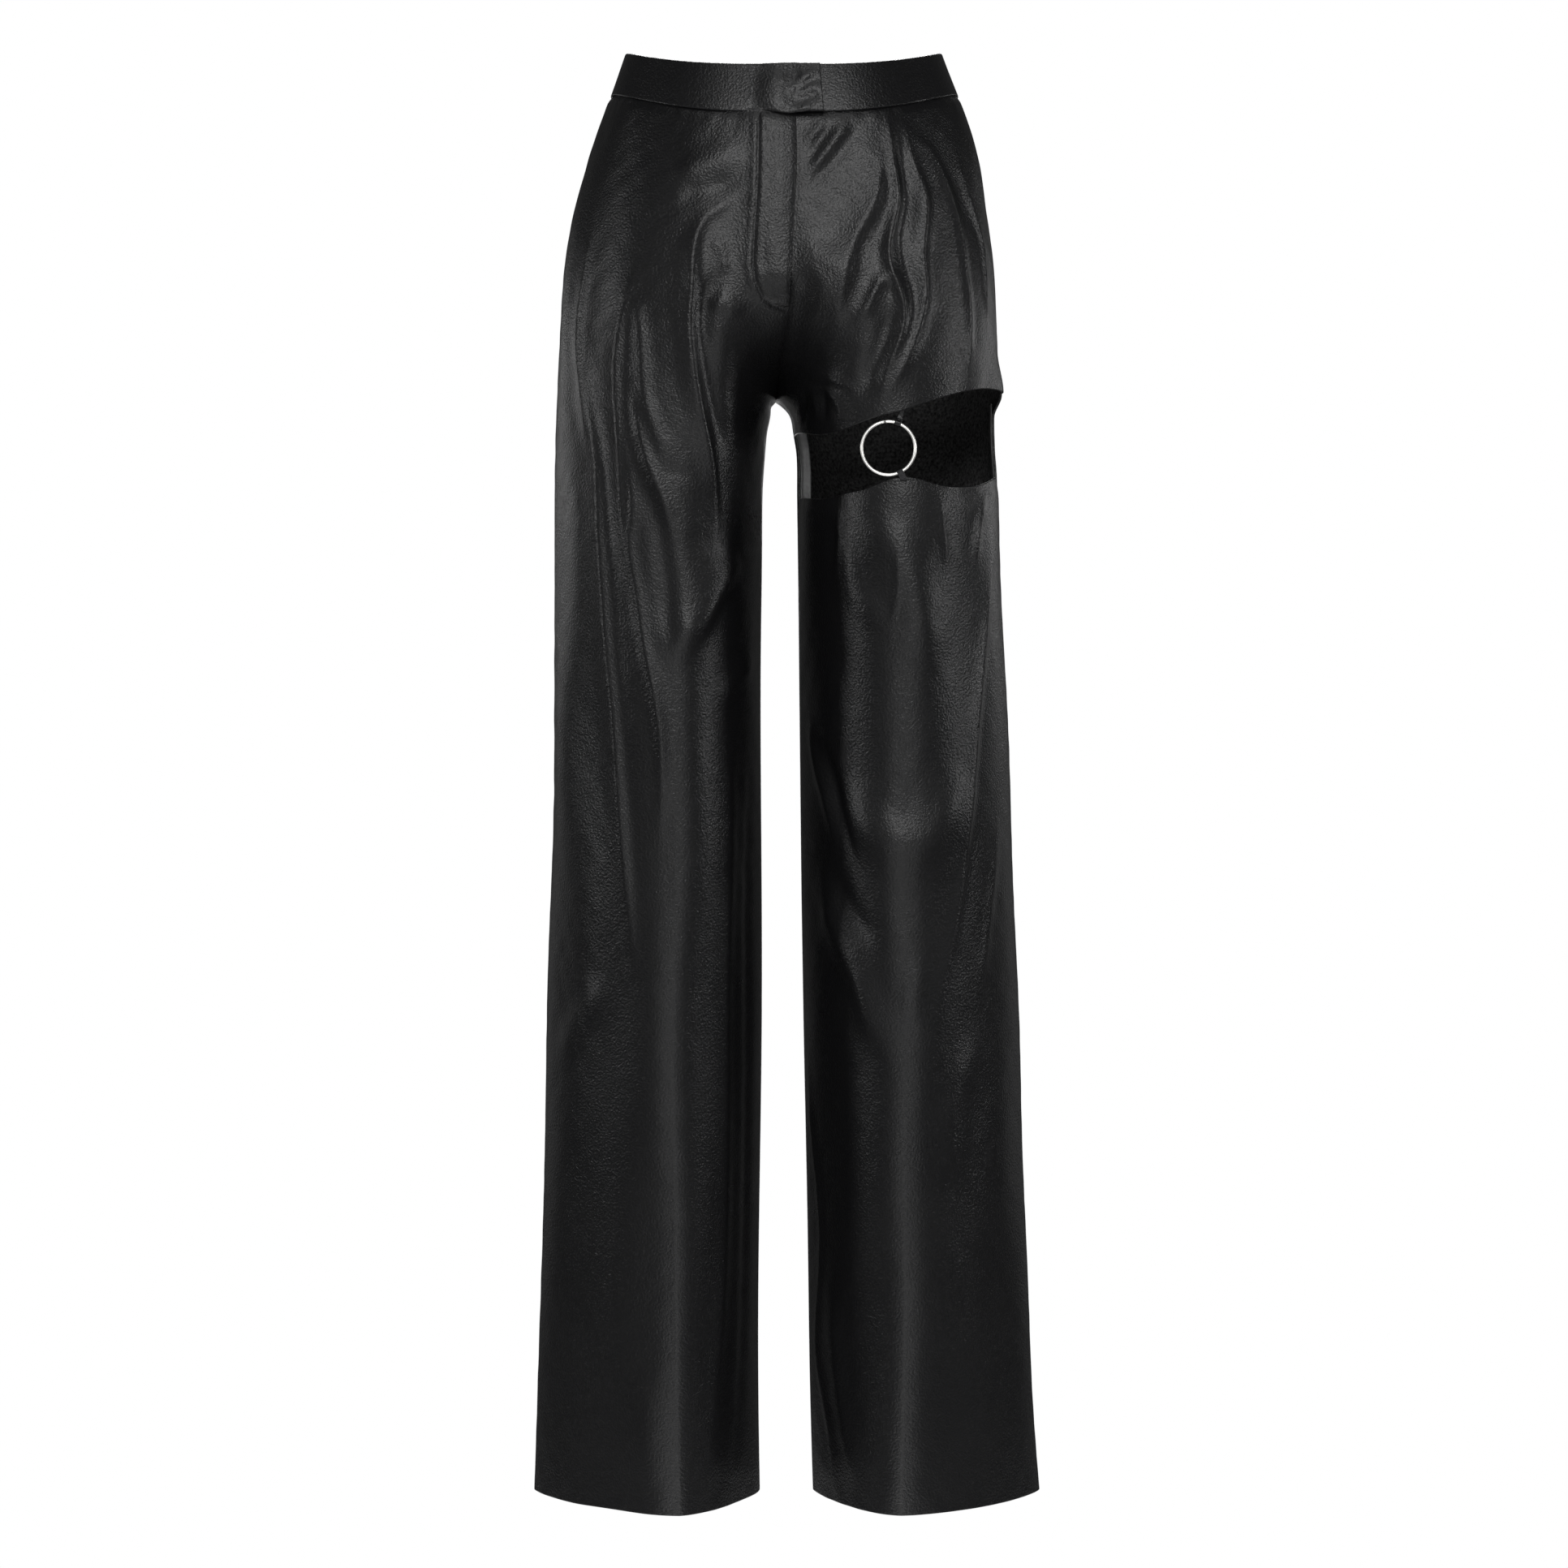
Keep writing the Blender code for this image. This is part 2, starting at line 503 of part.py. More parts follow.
def whole_heights(side, half):
    hook = FRONT_HOOK if half == FRONT else BACK_HOOK
    return dipped(side, half, column_places(half), rows(hook))


def upper_heights():
    """Rows of the left front above the cut-out: below CUT_SPREAD_TOP they bend to its upper edge."""
    u = column_places(FRONT)
    edge = cut_height(u, "upper")
    z = rows(FRONT_HOOK)
    z = np.append(z[z > edge[-1] + LEAST_ROW], edge[-1])
    scale = (edge - CUT_SPREAD_TOP) / (edge[-1] - CUT_SPREAD_TOP)
    bent = CUT_SPREAD_TOP + (z[:, None] - CUT_SPREAD_TOP) * scale[None, :]
    return np.where(z[:, None] > CUT_SPREAD_TOP, dipped(LEFT, FRONT, u, z), bent)


def lower_heights():
    """Rows of the left front below the cut-out: above CUT_SPREAD_BOTTOM they bend to its lower edge."""
    u = column_places(FRONT)
    edge = cut_height(u, "lower")
    z = rows(FRONT_HOOK)
    z = np.insert(z[z < edge[-1] - LEAST_ROW], 0, edge[-1])
    scale = (edge - CUT_SPREAD_BOTTOM) / (edge[-1] - CUT_SPREAD_BOTTOM)
    bent = CUT_SPREAD_BOTTOM + (z[:, None] - CUT_SPREAD_BOTTOM) * scale[None, :]
    return np.where(z[:, None] < CUT_SPREAD_BOTTOM, z[:, None], bent)


def left_front_place(x):
    """The u at which the left front meets x, at the waist seam."""
    u = np.linspace(1.0, 0.0, ARC_POINTS)
    return float(np.interp(x, surface_x(LEFT, FRONT, u), u))


def band_run(side, half, u, laps=False):
    """Outer and inner rows of the waistband over one panel. They rise and sag where it laps over the left."""
    x = surface_x(side, half, u)
    top, low = seam_height(side, half, u, BAND_TOP), seam_height(side, half, u) + SEAM_GAP / 2
    out = np.zeros_like(x)
    if laps:
        low, out = low - sag(x), tab_lift(x)
    z = np.stack((top, (top + low) / 2, low))
    u = np.broadcast_to(u, z.shape)
    return np.stack((surface(side, half, u, z, -out), surface(side, half, u, z, BAND_WALL - out)))


def tab_lift(x):
    """How far the right half rises to lie over the left half's end."""
    return TAB_LIFT * smooth_step((x - TAB_LIFT_START) / TAB_RAMP)


def waistbands(collection):
    """The right half runs on over the middle as a tab. The left half ends under it."""
    front, back = column_places(FRONT), column_places(BACK)[:0:-1]
    tab = np.linspace(left_front_place(TAB_START), left_front_place(TAB_END), TAB_COLUMNS)
    right = (
        band_run(RIGHT, BACK, back),
        band_run(RIGHT, FRONT, front, laps=True),
        band_run(LEFT, FRONT, tab, laps=True),
    )
    left = band_run(LEFT, BACK, back), band_run(LEFT, FRONT, front)
    wall("waistband_right", *np.concatenate(right, axis=2), False, LEATHER, collection)
    wall("waistband_left", *np.concatenate(left, axis=2), True, LEATHER, collection)


def lining_strip(name, u_ends, finish, collection):
    """A band of cloth that lies against the inside of the left back, along the panel's rows and columns."""
    heights = whole_heights(LEFT, BACK)
    heights = heights[(heights[:, 0] < ALLOWANCE_TOP) & (heights[:, 0] > ALLOWANCE_BOTTOM)]
    u = column_places(BACK)
    places = np.array([u_ends[0], *u[(u > u_ends[0]) & (u < u_ends[1])], u_ends[1]])
    grid = np.broadcast_to(u, heights.shape)
    outer, inner = (surface(LEFT, BACK, grid, heights, inside) for inside in (0.0, WALL))
    before = np.clip(np.searchsorted(u, places, side="right") - 1, 0, len(u) - 2)
    share = ((places - u[before]) / (u[before + 1] - u[before]))[:, None]
    outer, inner = (f[:, before] * (1 - share) + f[:, before + 1] * share for f in (outer, inner))
    near, far = ((WALL + SEAM_GAP + layer) / WALL for layer in (0.0, ALLOWANCE))
    faces = (outer + (inner - outer) * depth for depth in (near, far))
    wall(name, *faces, False, finish, collection)


def allowances(collection):
    """The pressed-open seam allowances that lie on the left back, behind the cut-out."""
    _, _, length = arcs(LEFT, BACK, np.array([(ALLOWANCE_TOP + ALLOWANCE_BOTTOM) / 2]))
    near, far = (1.0 - distance / length[0, -1] for distance in INSEAM_ALLOWANCE)
    lining_strip("inseam_allowance", (far, near), LEATHER, collection)
    near, far = (distance / length[0, -1] for distance in OUTSEAM_ALLOWANCE)
    lining_strip("outseam_allowance", (near, far), LEATHER, collection)


def front_y(side, x, z):
    """The y of a front panel's outer face at x and z."""
    across, y, _ = arcs(side, FRONT, np.array([z]))
    order = np.argsort(across[0])
    return float(np.interp(x, across[0][order], y[0][order]))


def zip_fastener(collection):
    """A tape behind the fly, with the closed chain raised along its middle, and a slider at its top."""
    half_tape, half_chain = ZIP_TAPE_WIDTH / 2, ZIP_CHAIN_WIDTH / 2
    profile = ((-half_tape, 0.0), (-half_chain, ZIP_CHAIN), (half_chain, ZIP_CHAIN), (half_tape, 0.0))
    outer, inner = [], []
    for z in np.linspace(ZIP_TOP, ZIP_BOTTOM, ZIP_ROWS):
        middle = float(RISE["front"](z)) - FLY_UNDERLAP
        for across, raised in profile:
            x = middle + across
            y = front_y(LEFT, max(x, middle + ZIP_INSET), z) + WALL + CLEAR
            outer.append((x, y, z))
            inner.append((x, y + ZIP_TAPE + raised, z))
    outer, inner = (np.reshape(points, (ZIP_ROWS, -1, 3)) for points in (outer, inner))
    wall("fly_zip", outer, inner, False, ZIP_TAPE_FINISH, collection)
    bpy.ops.mesh.primitive_cube_add(size=1.0)
    slider = bpy.context.object
    slider.name = "zip_slider"
    z = ZIP_TOP - SLIDER_HEIGHT
    x = float(RISE["front"](z)) - FLY_UNDERLAP
    behind = front_y(LEFT, x + ZIP_INSET, z) + WALL + CLEAR + ZIP_TAPE + ZIP_CHAIN + CLEAR
    slider.data.transform(Matrix.Diagonal((SLIDER_WIDTH, SLIDER_DEPTH, SLIDER_HEIGHT, 1.0)))
    slider.location = x, behind + SLIDER_DEPTH / 2, z
    bevel = slider.modifiers.new("rounded", "BEVEL")
    bevel.width = SLIDER_DEPTH / 4
    bevel.segments = 2
    adopt(slider, STEEL, collection)


def adopt(piece, finish, collection):
    """Moves a piece made by an operator into the garment's collection and gives it its finish."""
    for owner in list(piece.users_collection):
        owner.objects.unlink(piece)
    collection.objects.link(piece)
    piece.data.materials.append(material(piece.name + "_finish", finish))
    piece.data.shade_smooth()


def ring_y():
    """The ring hangs just behind the panels' inner faces, so that its keepers run straight in under them."""
    return front_y(LEFT, RING_X, float(CUT["lower"](RING_X))) + WALL + CLEAR + KEEPER_STRAP


def thigh_ring(collection):
    bpy.ops.mesh.primitive_torus_add(
        major_segments=48,
        minor_segments=8,
        major_radius=RING_RADIUS,
        minor_radius=WIRE_RADIUS,
        location=(RING_X, ring_y(), RING_Z),
        rotation=(math.pi / 2, 0.0, 0.0),
    )
    ring = bpy.context.object
    ring.name = "thigh_ring"
    adopt(ring, STEEL, collection)


def keeper(name, angle, edge, finish, collection):
    """A strap looped round the wire, whose two ends run together in under the panel's edge. Its profile lies
    across the wire: r is away from the ring's middle and d is into the garment."""
    radius = KEEPER_BORE + KEEPER_STRAP
    away = Vector((math.sin(angle), 0.0, math.cos(angle)))
    wire = Vector((RING_X, ring_y(), RING_Z)) + RING_RADIUS * away
    end_z = float(CUT[edge](wire.x)) + math.copysign(KEEPER_UNDER, away.z)
    end_r = (end_z - wire.z) / away.z
    end_x = wire.x + end_r * away.x
    end_d = front_y(LEFT, end_x, end_z) + WALL + CLEAR + KEEPER_STRAP - wire.y
    open_angle = math.asin(KEEPER_STRAP / radius)
    turns = np.linspace(open_angle, 2 * math.pi - open_angle, LOOP_POINTS)
    outline = [(radius * math.cos(t), radius * math.sin(t)) for t in turns]
    outline += [(end_r, end_d - KEEPER_STRAP), (end_r, end_d + KEEPER_STRAP)]
    turns = np.linspace(0.0, 2 * math.pi, BORE_POINTS, endpoint=False)
    hole = [(KEEPER_BORE * math.cos(t), KEEPER_BORE * math.sin(t)) for t in turns]
    curve = bpy.data.curves.new(name, "CURVE")
    curve.dimensions = "2D"
    curve.fill_mode = "BOTH"
    curve.extrude = KEEPER_WIDTH / 2
    for points in (outline, hole):
        line = curve.splines.new("POLY")
        line.points.add(len(points) - 1)
        for point, (r, d) in zip(line.points, points):
            point.co = (r, d, 0.0, 1.0)
        line.use_cyclic_u = True
    piece = bpy.data.objects.new(name, curve)
    inwards = Vector((0.0, 1.0, 0.0))
    turned = Matrix((away, inwards, away.cross(inwards))).transposed().to_4x4()
    piece.matrix_world = Matrix.Translation(wire) @ turned
    collection.objects.link(piece)
    curve.materials.append(material(name + "_finish", finish))


def build():
    for old in list(bpy.data.objects):
        bpy.data.objects.remove(old)
    trousers = bpy.data.collections.new("leather_trousers")
    bpy.context.scene.collection.children.link(trousers)
    waistbands(trousers)
    panel("right_front", RIGHT, FRONT, whole_heights(RIGHT, FRONT), trousers)
    panel("right_back", RIGHT, BACK, whole_heights(RIGHT, BACK), trousers)
    panel("left_front_upper", LEFT, FRONT, upper_heights(), trousers)
    panel("left_front_lower", LEFT, FRONT, lower_heights(), trousers)
    panel("left_back", LEFT, BACK, whole_heights(LEFT, BACK), trousers)
    allowances(trousers)
    zip_fastener(trousers)
    thigh_ring(trousers)
    keeper("ring_keeper_upper", UPPER_KEEPER_ANGLE, "upper", LEATHER, trousers)
    keeper("ring_keeper_lower", LOWER_KEEPER_ANGLE, "lower", THREAD, trousers)


build()
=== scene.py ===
"""Looks for the wide-leg leather trousers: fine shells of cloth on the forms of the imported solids.

Metres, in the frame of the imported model: +Z is up, the front faces -Y and the wearer's left is +X. The origin
is in the middle of the waist, level with the middle of the waistband at the side seams.

A panel's outer face follows its section at each height. side is RIGHT or LEFT, half is FRONT or BACK, z is
the height, and u runs round the panel from the outseam at 0 to its inner edge at 1. The inner edge is the
front or back rise above the crotch, and the inseam below it.
"""

import math
from collections import namedtuple

import bpy
import numpy as np
from mathutils import Matrix, Vector


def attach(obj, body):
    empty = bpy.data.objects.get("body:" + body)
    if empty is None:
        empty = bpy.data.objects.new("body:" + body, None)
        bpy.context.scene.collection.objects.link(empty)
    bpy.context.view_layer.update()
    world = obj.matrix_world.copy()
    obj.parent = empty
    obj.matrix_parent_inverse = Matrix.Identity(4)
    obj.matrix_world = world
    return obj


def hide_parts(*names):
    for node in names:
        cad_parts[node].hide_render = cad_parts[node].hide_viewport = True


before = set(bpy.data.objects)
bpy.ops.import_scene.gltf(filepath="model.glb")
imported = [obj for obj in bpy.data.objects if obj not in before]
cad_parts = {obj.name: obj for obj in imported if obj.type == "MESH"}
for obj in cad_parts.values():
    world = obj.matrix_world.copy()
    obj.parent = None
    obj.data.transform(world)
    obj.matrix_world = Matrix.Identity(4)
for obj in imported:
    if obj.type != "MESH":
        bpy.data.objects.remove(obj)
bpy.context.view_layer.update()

MM = 0.001
RIGHT, LEFT = -1, 1
FRONT, BACK = -1, 1
SIDE_NAME, HALF_NAME = {RIGHT: "right", LEFT: "left"}, {FRONT: "front", BACK: "back"}
TROUSERS, RING = "trousers", "ring"

# Cloth
WALL = 0.0016
BAND_WALL = 0.0024
EDGE_ROLL = 0.48  # a wall's edge is rounded to this share of its thickness
SEAM_GAP = -0.0006  # the shells lap a little at their seams, so that no light comes through
WAIST_LAP = 0.0020  # the panels run up into the waistband by this much
CLEAR = 0.0008  # between a panel's curved inner face and a piece that lies against it

# Heights. The waistband's edges are given at the side seams, and sink from there to the middle of the front
BAND_TOP, BAND_SEAM = 0.0164, -0.0166
# How far each dips in front, how far it rises at the back, and how sharply it dips
EDGE_DIPS = {BAND_TOP: (0.0250, 0.0040, 1.6), BAND_SEAM: (0.0285, 0.0030, 2.0)}
DIP_FADE = -0.1500  # by this height the panels' rows are level
CROTCH, CROTCH_X = -0.2480, -0.0062
HEM = -1.0785
HEM_DEPTH, HEM_WALL = 0.0250, 0.0009  # the hem is turned up inside by this much, one layer more
HEM_STEP = 0.0010  # the height over which that layer ends

# The rises: how far each curves under before the crotch, and how deep the seam lies, as a share of the depth
HOOK = {FRONT: 0.0860, BACK: 0.1250}
SEAM_DEPTH = {FRONT: 0.985, BACK: 0.930}
# A rise is closed, the legs' faces meeting flat, where the way out from it points sideways. It opens as that
# way comes to point to the front or back by more than MEET_TO, over a range of MEET_FADE.
MEET_TO, MEET_FADE = 0.35, 0.50
RISE_REACH = 0.0050  # beside a closed rise the cloth's own way out turns straight over this distance

# Below the crotch the legs part: over SLIT_SPREAD of height, and most of all near the inseams
SLIT_SPREAD, SLIT_TIGHTNESS = 0.0900, 4

# Fly: a flap of the right front that lies over the left front, from the waistband to FLY_END
FLY_END = -0.1900
FLY_WIDTH, FLY_CURVE = 0.0480, 0.0300
FLY_LIFT, FLY_RAMP = 0.0023, 0.0400
FLY_FACING = 0.0009  # the flap is thicker by this much, so that it lies on the left front
# The flap swells round its stitching: how much, how far from its edge, how widely, and how far up it grows
FLY_SWELL, FLY_SWELL_AT, FLY_SWELL_WIDTH, FLY_SWELL_FADE = 0.0013, 0.0290, 0.0150, 0.0900
FLY_UNDERLAP, TUCK_END = 0.0070, -0.1740  # the left front runs on under the flap, down to here
FLY_BLEND = 0.0180

# The waistband's tab is the end of the right half, and lies over the end of the left half
TAB_START, TAB_END = 0.0125, 0.0270
TAB_LIFT, TAB_LIFT_START, TAB_RAMP = 0.0031, -0.0225, 0.0220
TAB_SAG, TAB_SAG_X, TAB_SAG_WIDTH = 0.0025, 0.0040, 0.0160

# Zip behind the fly
ZIP_TOP, ZIP_BOTTOM = -0.0500, -0.1780
ZIP_TAPE_WIDTH, ZIP_TAPE = 0.0240, 0.0008
ZIP_CHAIN_WIDTH = 0.0050
ZIP_COLUMN = 0.6  # the tape has a column of points at this share of its half width
ZIP_INSET = 0.0010  # the zip's depth is read this far inside the left front's edge
COIL_TOP, COIL_BOTTOM = ZIP_TOP - 0.0120, ZIP_BOTTOM + 0.0040
TOOTH_PITCH, TOOTH_LENGTH, TOOTH_RADIUS = 0.0018, 0.0036, 0.0005
TOOTH_SHIFT, TOOTH_STANDS = 0.0007, 0.0004  # to one side or the other, and off the tape

# Ring across the cut-out, and its keepers, whose angles run clockwise from straight up, seen from the front
RING_X, RING_Z = 0.0767, -0.2933
RING_RADIUS, WIRE_RADIUS = 0.01965, 0.0012
RING_SPLIT_ANGLE, RING_SPLIT = math.radians(-8.0), math.radians(1.4)
RING_POINTS, WIRE_SIDES = 120, 16
UPPER_KEEPER_ANGLE, LOWER_KEEPER_ANGLE = math.radians(20.5), math.radians(154.0)
KEEPER_BORE, KEEPER_STRAP, KEEPER_WIDTH = 0.0017, 0.0008, 0.0036
KEEPER_UNDER = 0.0060  # how far its tail runs in under the panel
KEEPER_TAIL = (0.35, 0.7, 1.0)  # where its tail has rows of points
KEEPER_TAIL_GAP = 0.06  # between the tail's two layers, as a share of a layer
KEEPER_WIDE, KEEPER_NARROWS = 1.35, 0.60  # its width on the wire, and how much less it is under the panel
KEEPER_ROUND, KEEPER_ACROSS = 32, 7  # its points round the wire and across

# Seam allowances inside the left leg, behind the cut-out: distances from the seam, round the leg
ALLOWANCE = 0.0012
ALLOWANCE_TOP, ALLOWANCE_BOTTOM = -0.2490, -0.3500
INSEAM_ALLOWANCE = (0.0110, 0.0252)
OUTSEAM_ALLOWANCE = (0.0030, 0.0130)
FREE_EDGE = 0.0062  # the inseam allowance's free edge has sprung away from the leg by this much
BENT_FROM = 1 / 3  # it springs away from this share of its width on
ALLOWANCE_GAP = 0.0002  # between an allowance and the panel
ALLOWANCE_COLUMN, ALLOWANCE_EDGE = 0.01, 0.001  # steps across it, in shares of the panel's width

# The outer corner of the left front flares where the cut-out opens
FLARE, FLARE_TOP, FLARE_PEAK, FLARE_BOTTOM, FLARE_REACH = 0.0058, -0.2100, -0.2430, -0.2600, 0.0600

MOST_SPARE = 0.35  # the most by which columns run closer together near the rise
CUT_PASSES = 6  # a cut edge's height and its place round the leg settle in this many passes
ARC_POINTS = 60
NORMAL_STEP = 0.002  # a section's direction is read this far to either side
TINY = 1e-9
NEARLY_ALONG = 0.9  # a tube that starts this much along Y takes its guide from X instead

# Grids: the widest steps, and the closest ones beside an edge, a seam or stitching
COLUMN_STEP, ROW_STEP = 0.0024, 0.0064
FINE_COLUMN, FINE_ROW, FINE_FROM, FINE_TO = 0.0018, 0.0034, -0.0100, -0.3200
LEFT_FRONT_COLUMN = 0.0014
EDGE_STEP, EDGE_GROWTH = 0.0003, 0.30
CROTCH_STEP = 0.0010
NEAR_CROTCH = (CROTCH, 0.0060, CROTCH_STEP)
STITCHED_COLUMNS = 0.0250, 0.0060, 0.0007  # how far from the rise, for how far, and how close together
GRADING_POINTS = 3000
# The waistband's grid, in shares of its height and of a panel's width
BAND_ROW, BAND_EDGE_ROW = 0.040, 0.004
BAND_COLUMN, BAND_EDGE_COLUMN = 0.012, 0.002
CREASED_SHARE, CREASED_COLUMN = 0.10, 0.004
TAB_COLUMNS = 20

# The garment's body, a row for each height. right and left are how far the outseams lie from the middle.
# front and back are the depths, and the apexes are how far from the middle a section is deepest. roundness is
# the exponent of its curves: 2 is an ellipse, and less is flatter-sided.
Section = namedtuple("Section", "z right left front back right_apex left_apex back_apex roundness")
SECTIONS = (
    Section(0.030, 0.1160, 0.1160, 0.0820, 0.0830, 0.0200, 0.0220, 0.030, 2.10),
    Section(0.017, 0.1207, 0.1203, 0.0850, 0.0860, 0.0200, 0.0220, 0.030, 2.10),
    Section(-0.017, 0.1325, 0.1333, 0.0935, 0.0960, 0.0210, 0.0240, 0.036, 2.10),
    Section(-0.040, 0.1410, 0.1418, 0.0980, 0.1030, 0.0240, 0.0280, 0.042, 2.10),
    Section(-0.070, 0.1505, 0.1498, 0.1020, 0.1120, 0.0300, 0.0340, 0.050, 2.10),
    Section(-0.100, 0.1590, 0.1540, 0.1045, 0.1190, 0.0380, 0.0420, 0.058, 2.10),
    Section(-0.140, 0.1670, 0.1595, 0.1065, 0.1250, 0.0500, 0.0540, 0.068, 2.10),
    Section(-0.180, 0.1705, 0.1617, 0.1078, 0.1260, 0.0620, 0.0660, 0.076, 2.10),
    Section(-0.220, 0.1723, 0.1625, 0.1080, 0.1220, 0.0720, 0.0770, 0.082, 2.05),
    Section(-0.260, 0.1735, 0.1615, 0.1072, 0.1150, 0.0770, 0.0830, 0.087, 2.00),
    Section(-0.310, 0.1742, 0.1635, 0.1052, 0.1080, 0.0790, 0.0860, 0.090, 1.95),
    Section(-0.370, 0.1746, 0.1650, 0.1030, 0.1020, 0.0800, 0.0870, 0.092, 1.90),
    Section(-0.490, 0.1760, 0.1705, 0.1000, 0.0960, 0.0810, 0.0880, 0.093, 1.80),
    Section(-0.620, 0.1780, 0.1760, 0.0980, 0.0950, 0.0810, 0.0890, 0.095, 1.70),
    Section(-0.740, 0.1812, 0.1800, 0.0975, 0.0960, 0.0810, 0.0890, 0.098, 1.60),
    Section(-0.865, 0.1850, 0.1843, 0.0975, 0.0980, 0.0800, 0.0890, 0.100, 1.52),
    Section(-0.990, 0.1881, 0.1900, 0.0980, 0.1000, 0.0785, 0.0880, 0.102, 1.48),
    Section(-1.085, 0.1914, 0.1958, 0.0980, 0.1010, 0.0765, 0.0860, 0.104, 1.45),
)

# The x of each inseam, either side of the space between the legs
Slit = namedtuple("Slit", "z right left")
SLIT = (
    Slit(-0.2480, -0.0064, -0.0060),
    Slit(-0.2505, -0.0088, -0.0025),
    Slit(-0.2560, -0.0100, 0.0030),
    Slit(-0.2680, -0.0122, 0.0064),
    Slit(-0.2830, -0.0140, 0.0088),
    Slit(-0.3100, -0.0160, 0.0098),
    Slit(-0.3500, -0.0166, 0.0102),
    Slit(-0.4300, -0.0174, 0.0112),
    Slit(-0.6200, -0.0168, 0.0130),
    Slit(-0.7400, -0.0168, 0.0149),
    Slit(-0.8650, -0.0185, 0.0174),
    Slit(-0.9900, -0.0192, 0.0192),
    Slit(-1.0850, -0.0180, 0.0218),
)

# The x of the front rise, which is the flap's edge down to FLY_END, and of the back rise
Rise = namedtuple("Rise", "z front back")
RISES = (
    Rise(0.030, 0.0082, 0.0),
    Rise(-0.046, 0.0084, 0.0),
    Rise(-0.078, 0.0093, 0.0),
    Rise(-0.120, 0.0076, -0.0005),
    Rise(-0.165, 0.0053, -0.0015),
    Rise(-0.195, 0.0030, -0.0030),
    Rise(-0.217, -0.0012, -0.0042),
    Rise(-0.248, -0.0062, -0.0062),
)

# The cut-out's two edges across the left front, from the inseam to the outseam
Edge = namedtuple("Edge", "x upper lower")
CUT_OUT = (
    Edge(0.0080, -0.2748, -0.3215),
    Edge(0.0250, -0.2805, -0.3272),
    Edge(0.0370, -0.2804, -0.3266),
    Edge(0.0470, -0.2780, -0.3247),
    Edge(0.0600, -0.2735, -0.3225),
    Edge(0.0710, -0.2700, -0.3182),
    Edge(0.0820, -0.2676, -0.3153),
    Edge(0.0940, -0.2641, -0.3147),
    Edge(0.1060, -0.2598, -0.3172),
    Edge(0.1165, -0.2558, -0.3198),
    Edge(0.1285, -0.2515, -0.3202),
    Edge(0.1400, -0.2477, -0.3188),
    Edge(0.1520, -0.2443, -0.3148),
    Edge(0.1625, -0.2422, -0.3070),
)
# Between these heights the rows bend to the cut-out's edges
CUT_SPREAD_TOP, CUT_SPREAD_BOTTOM = -0.2000, -0.4200

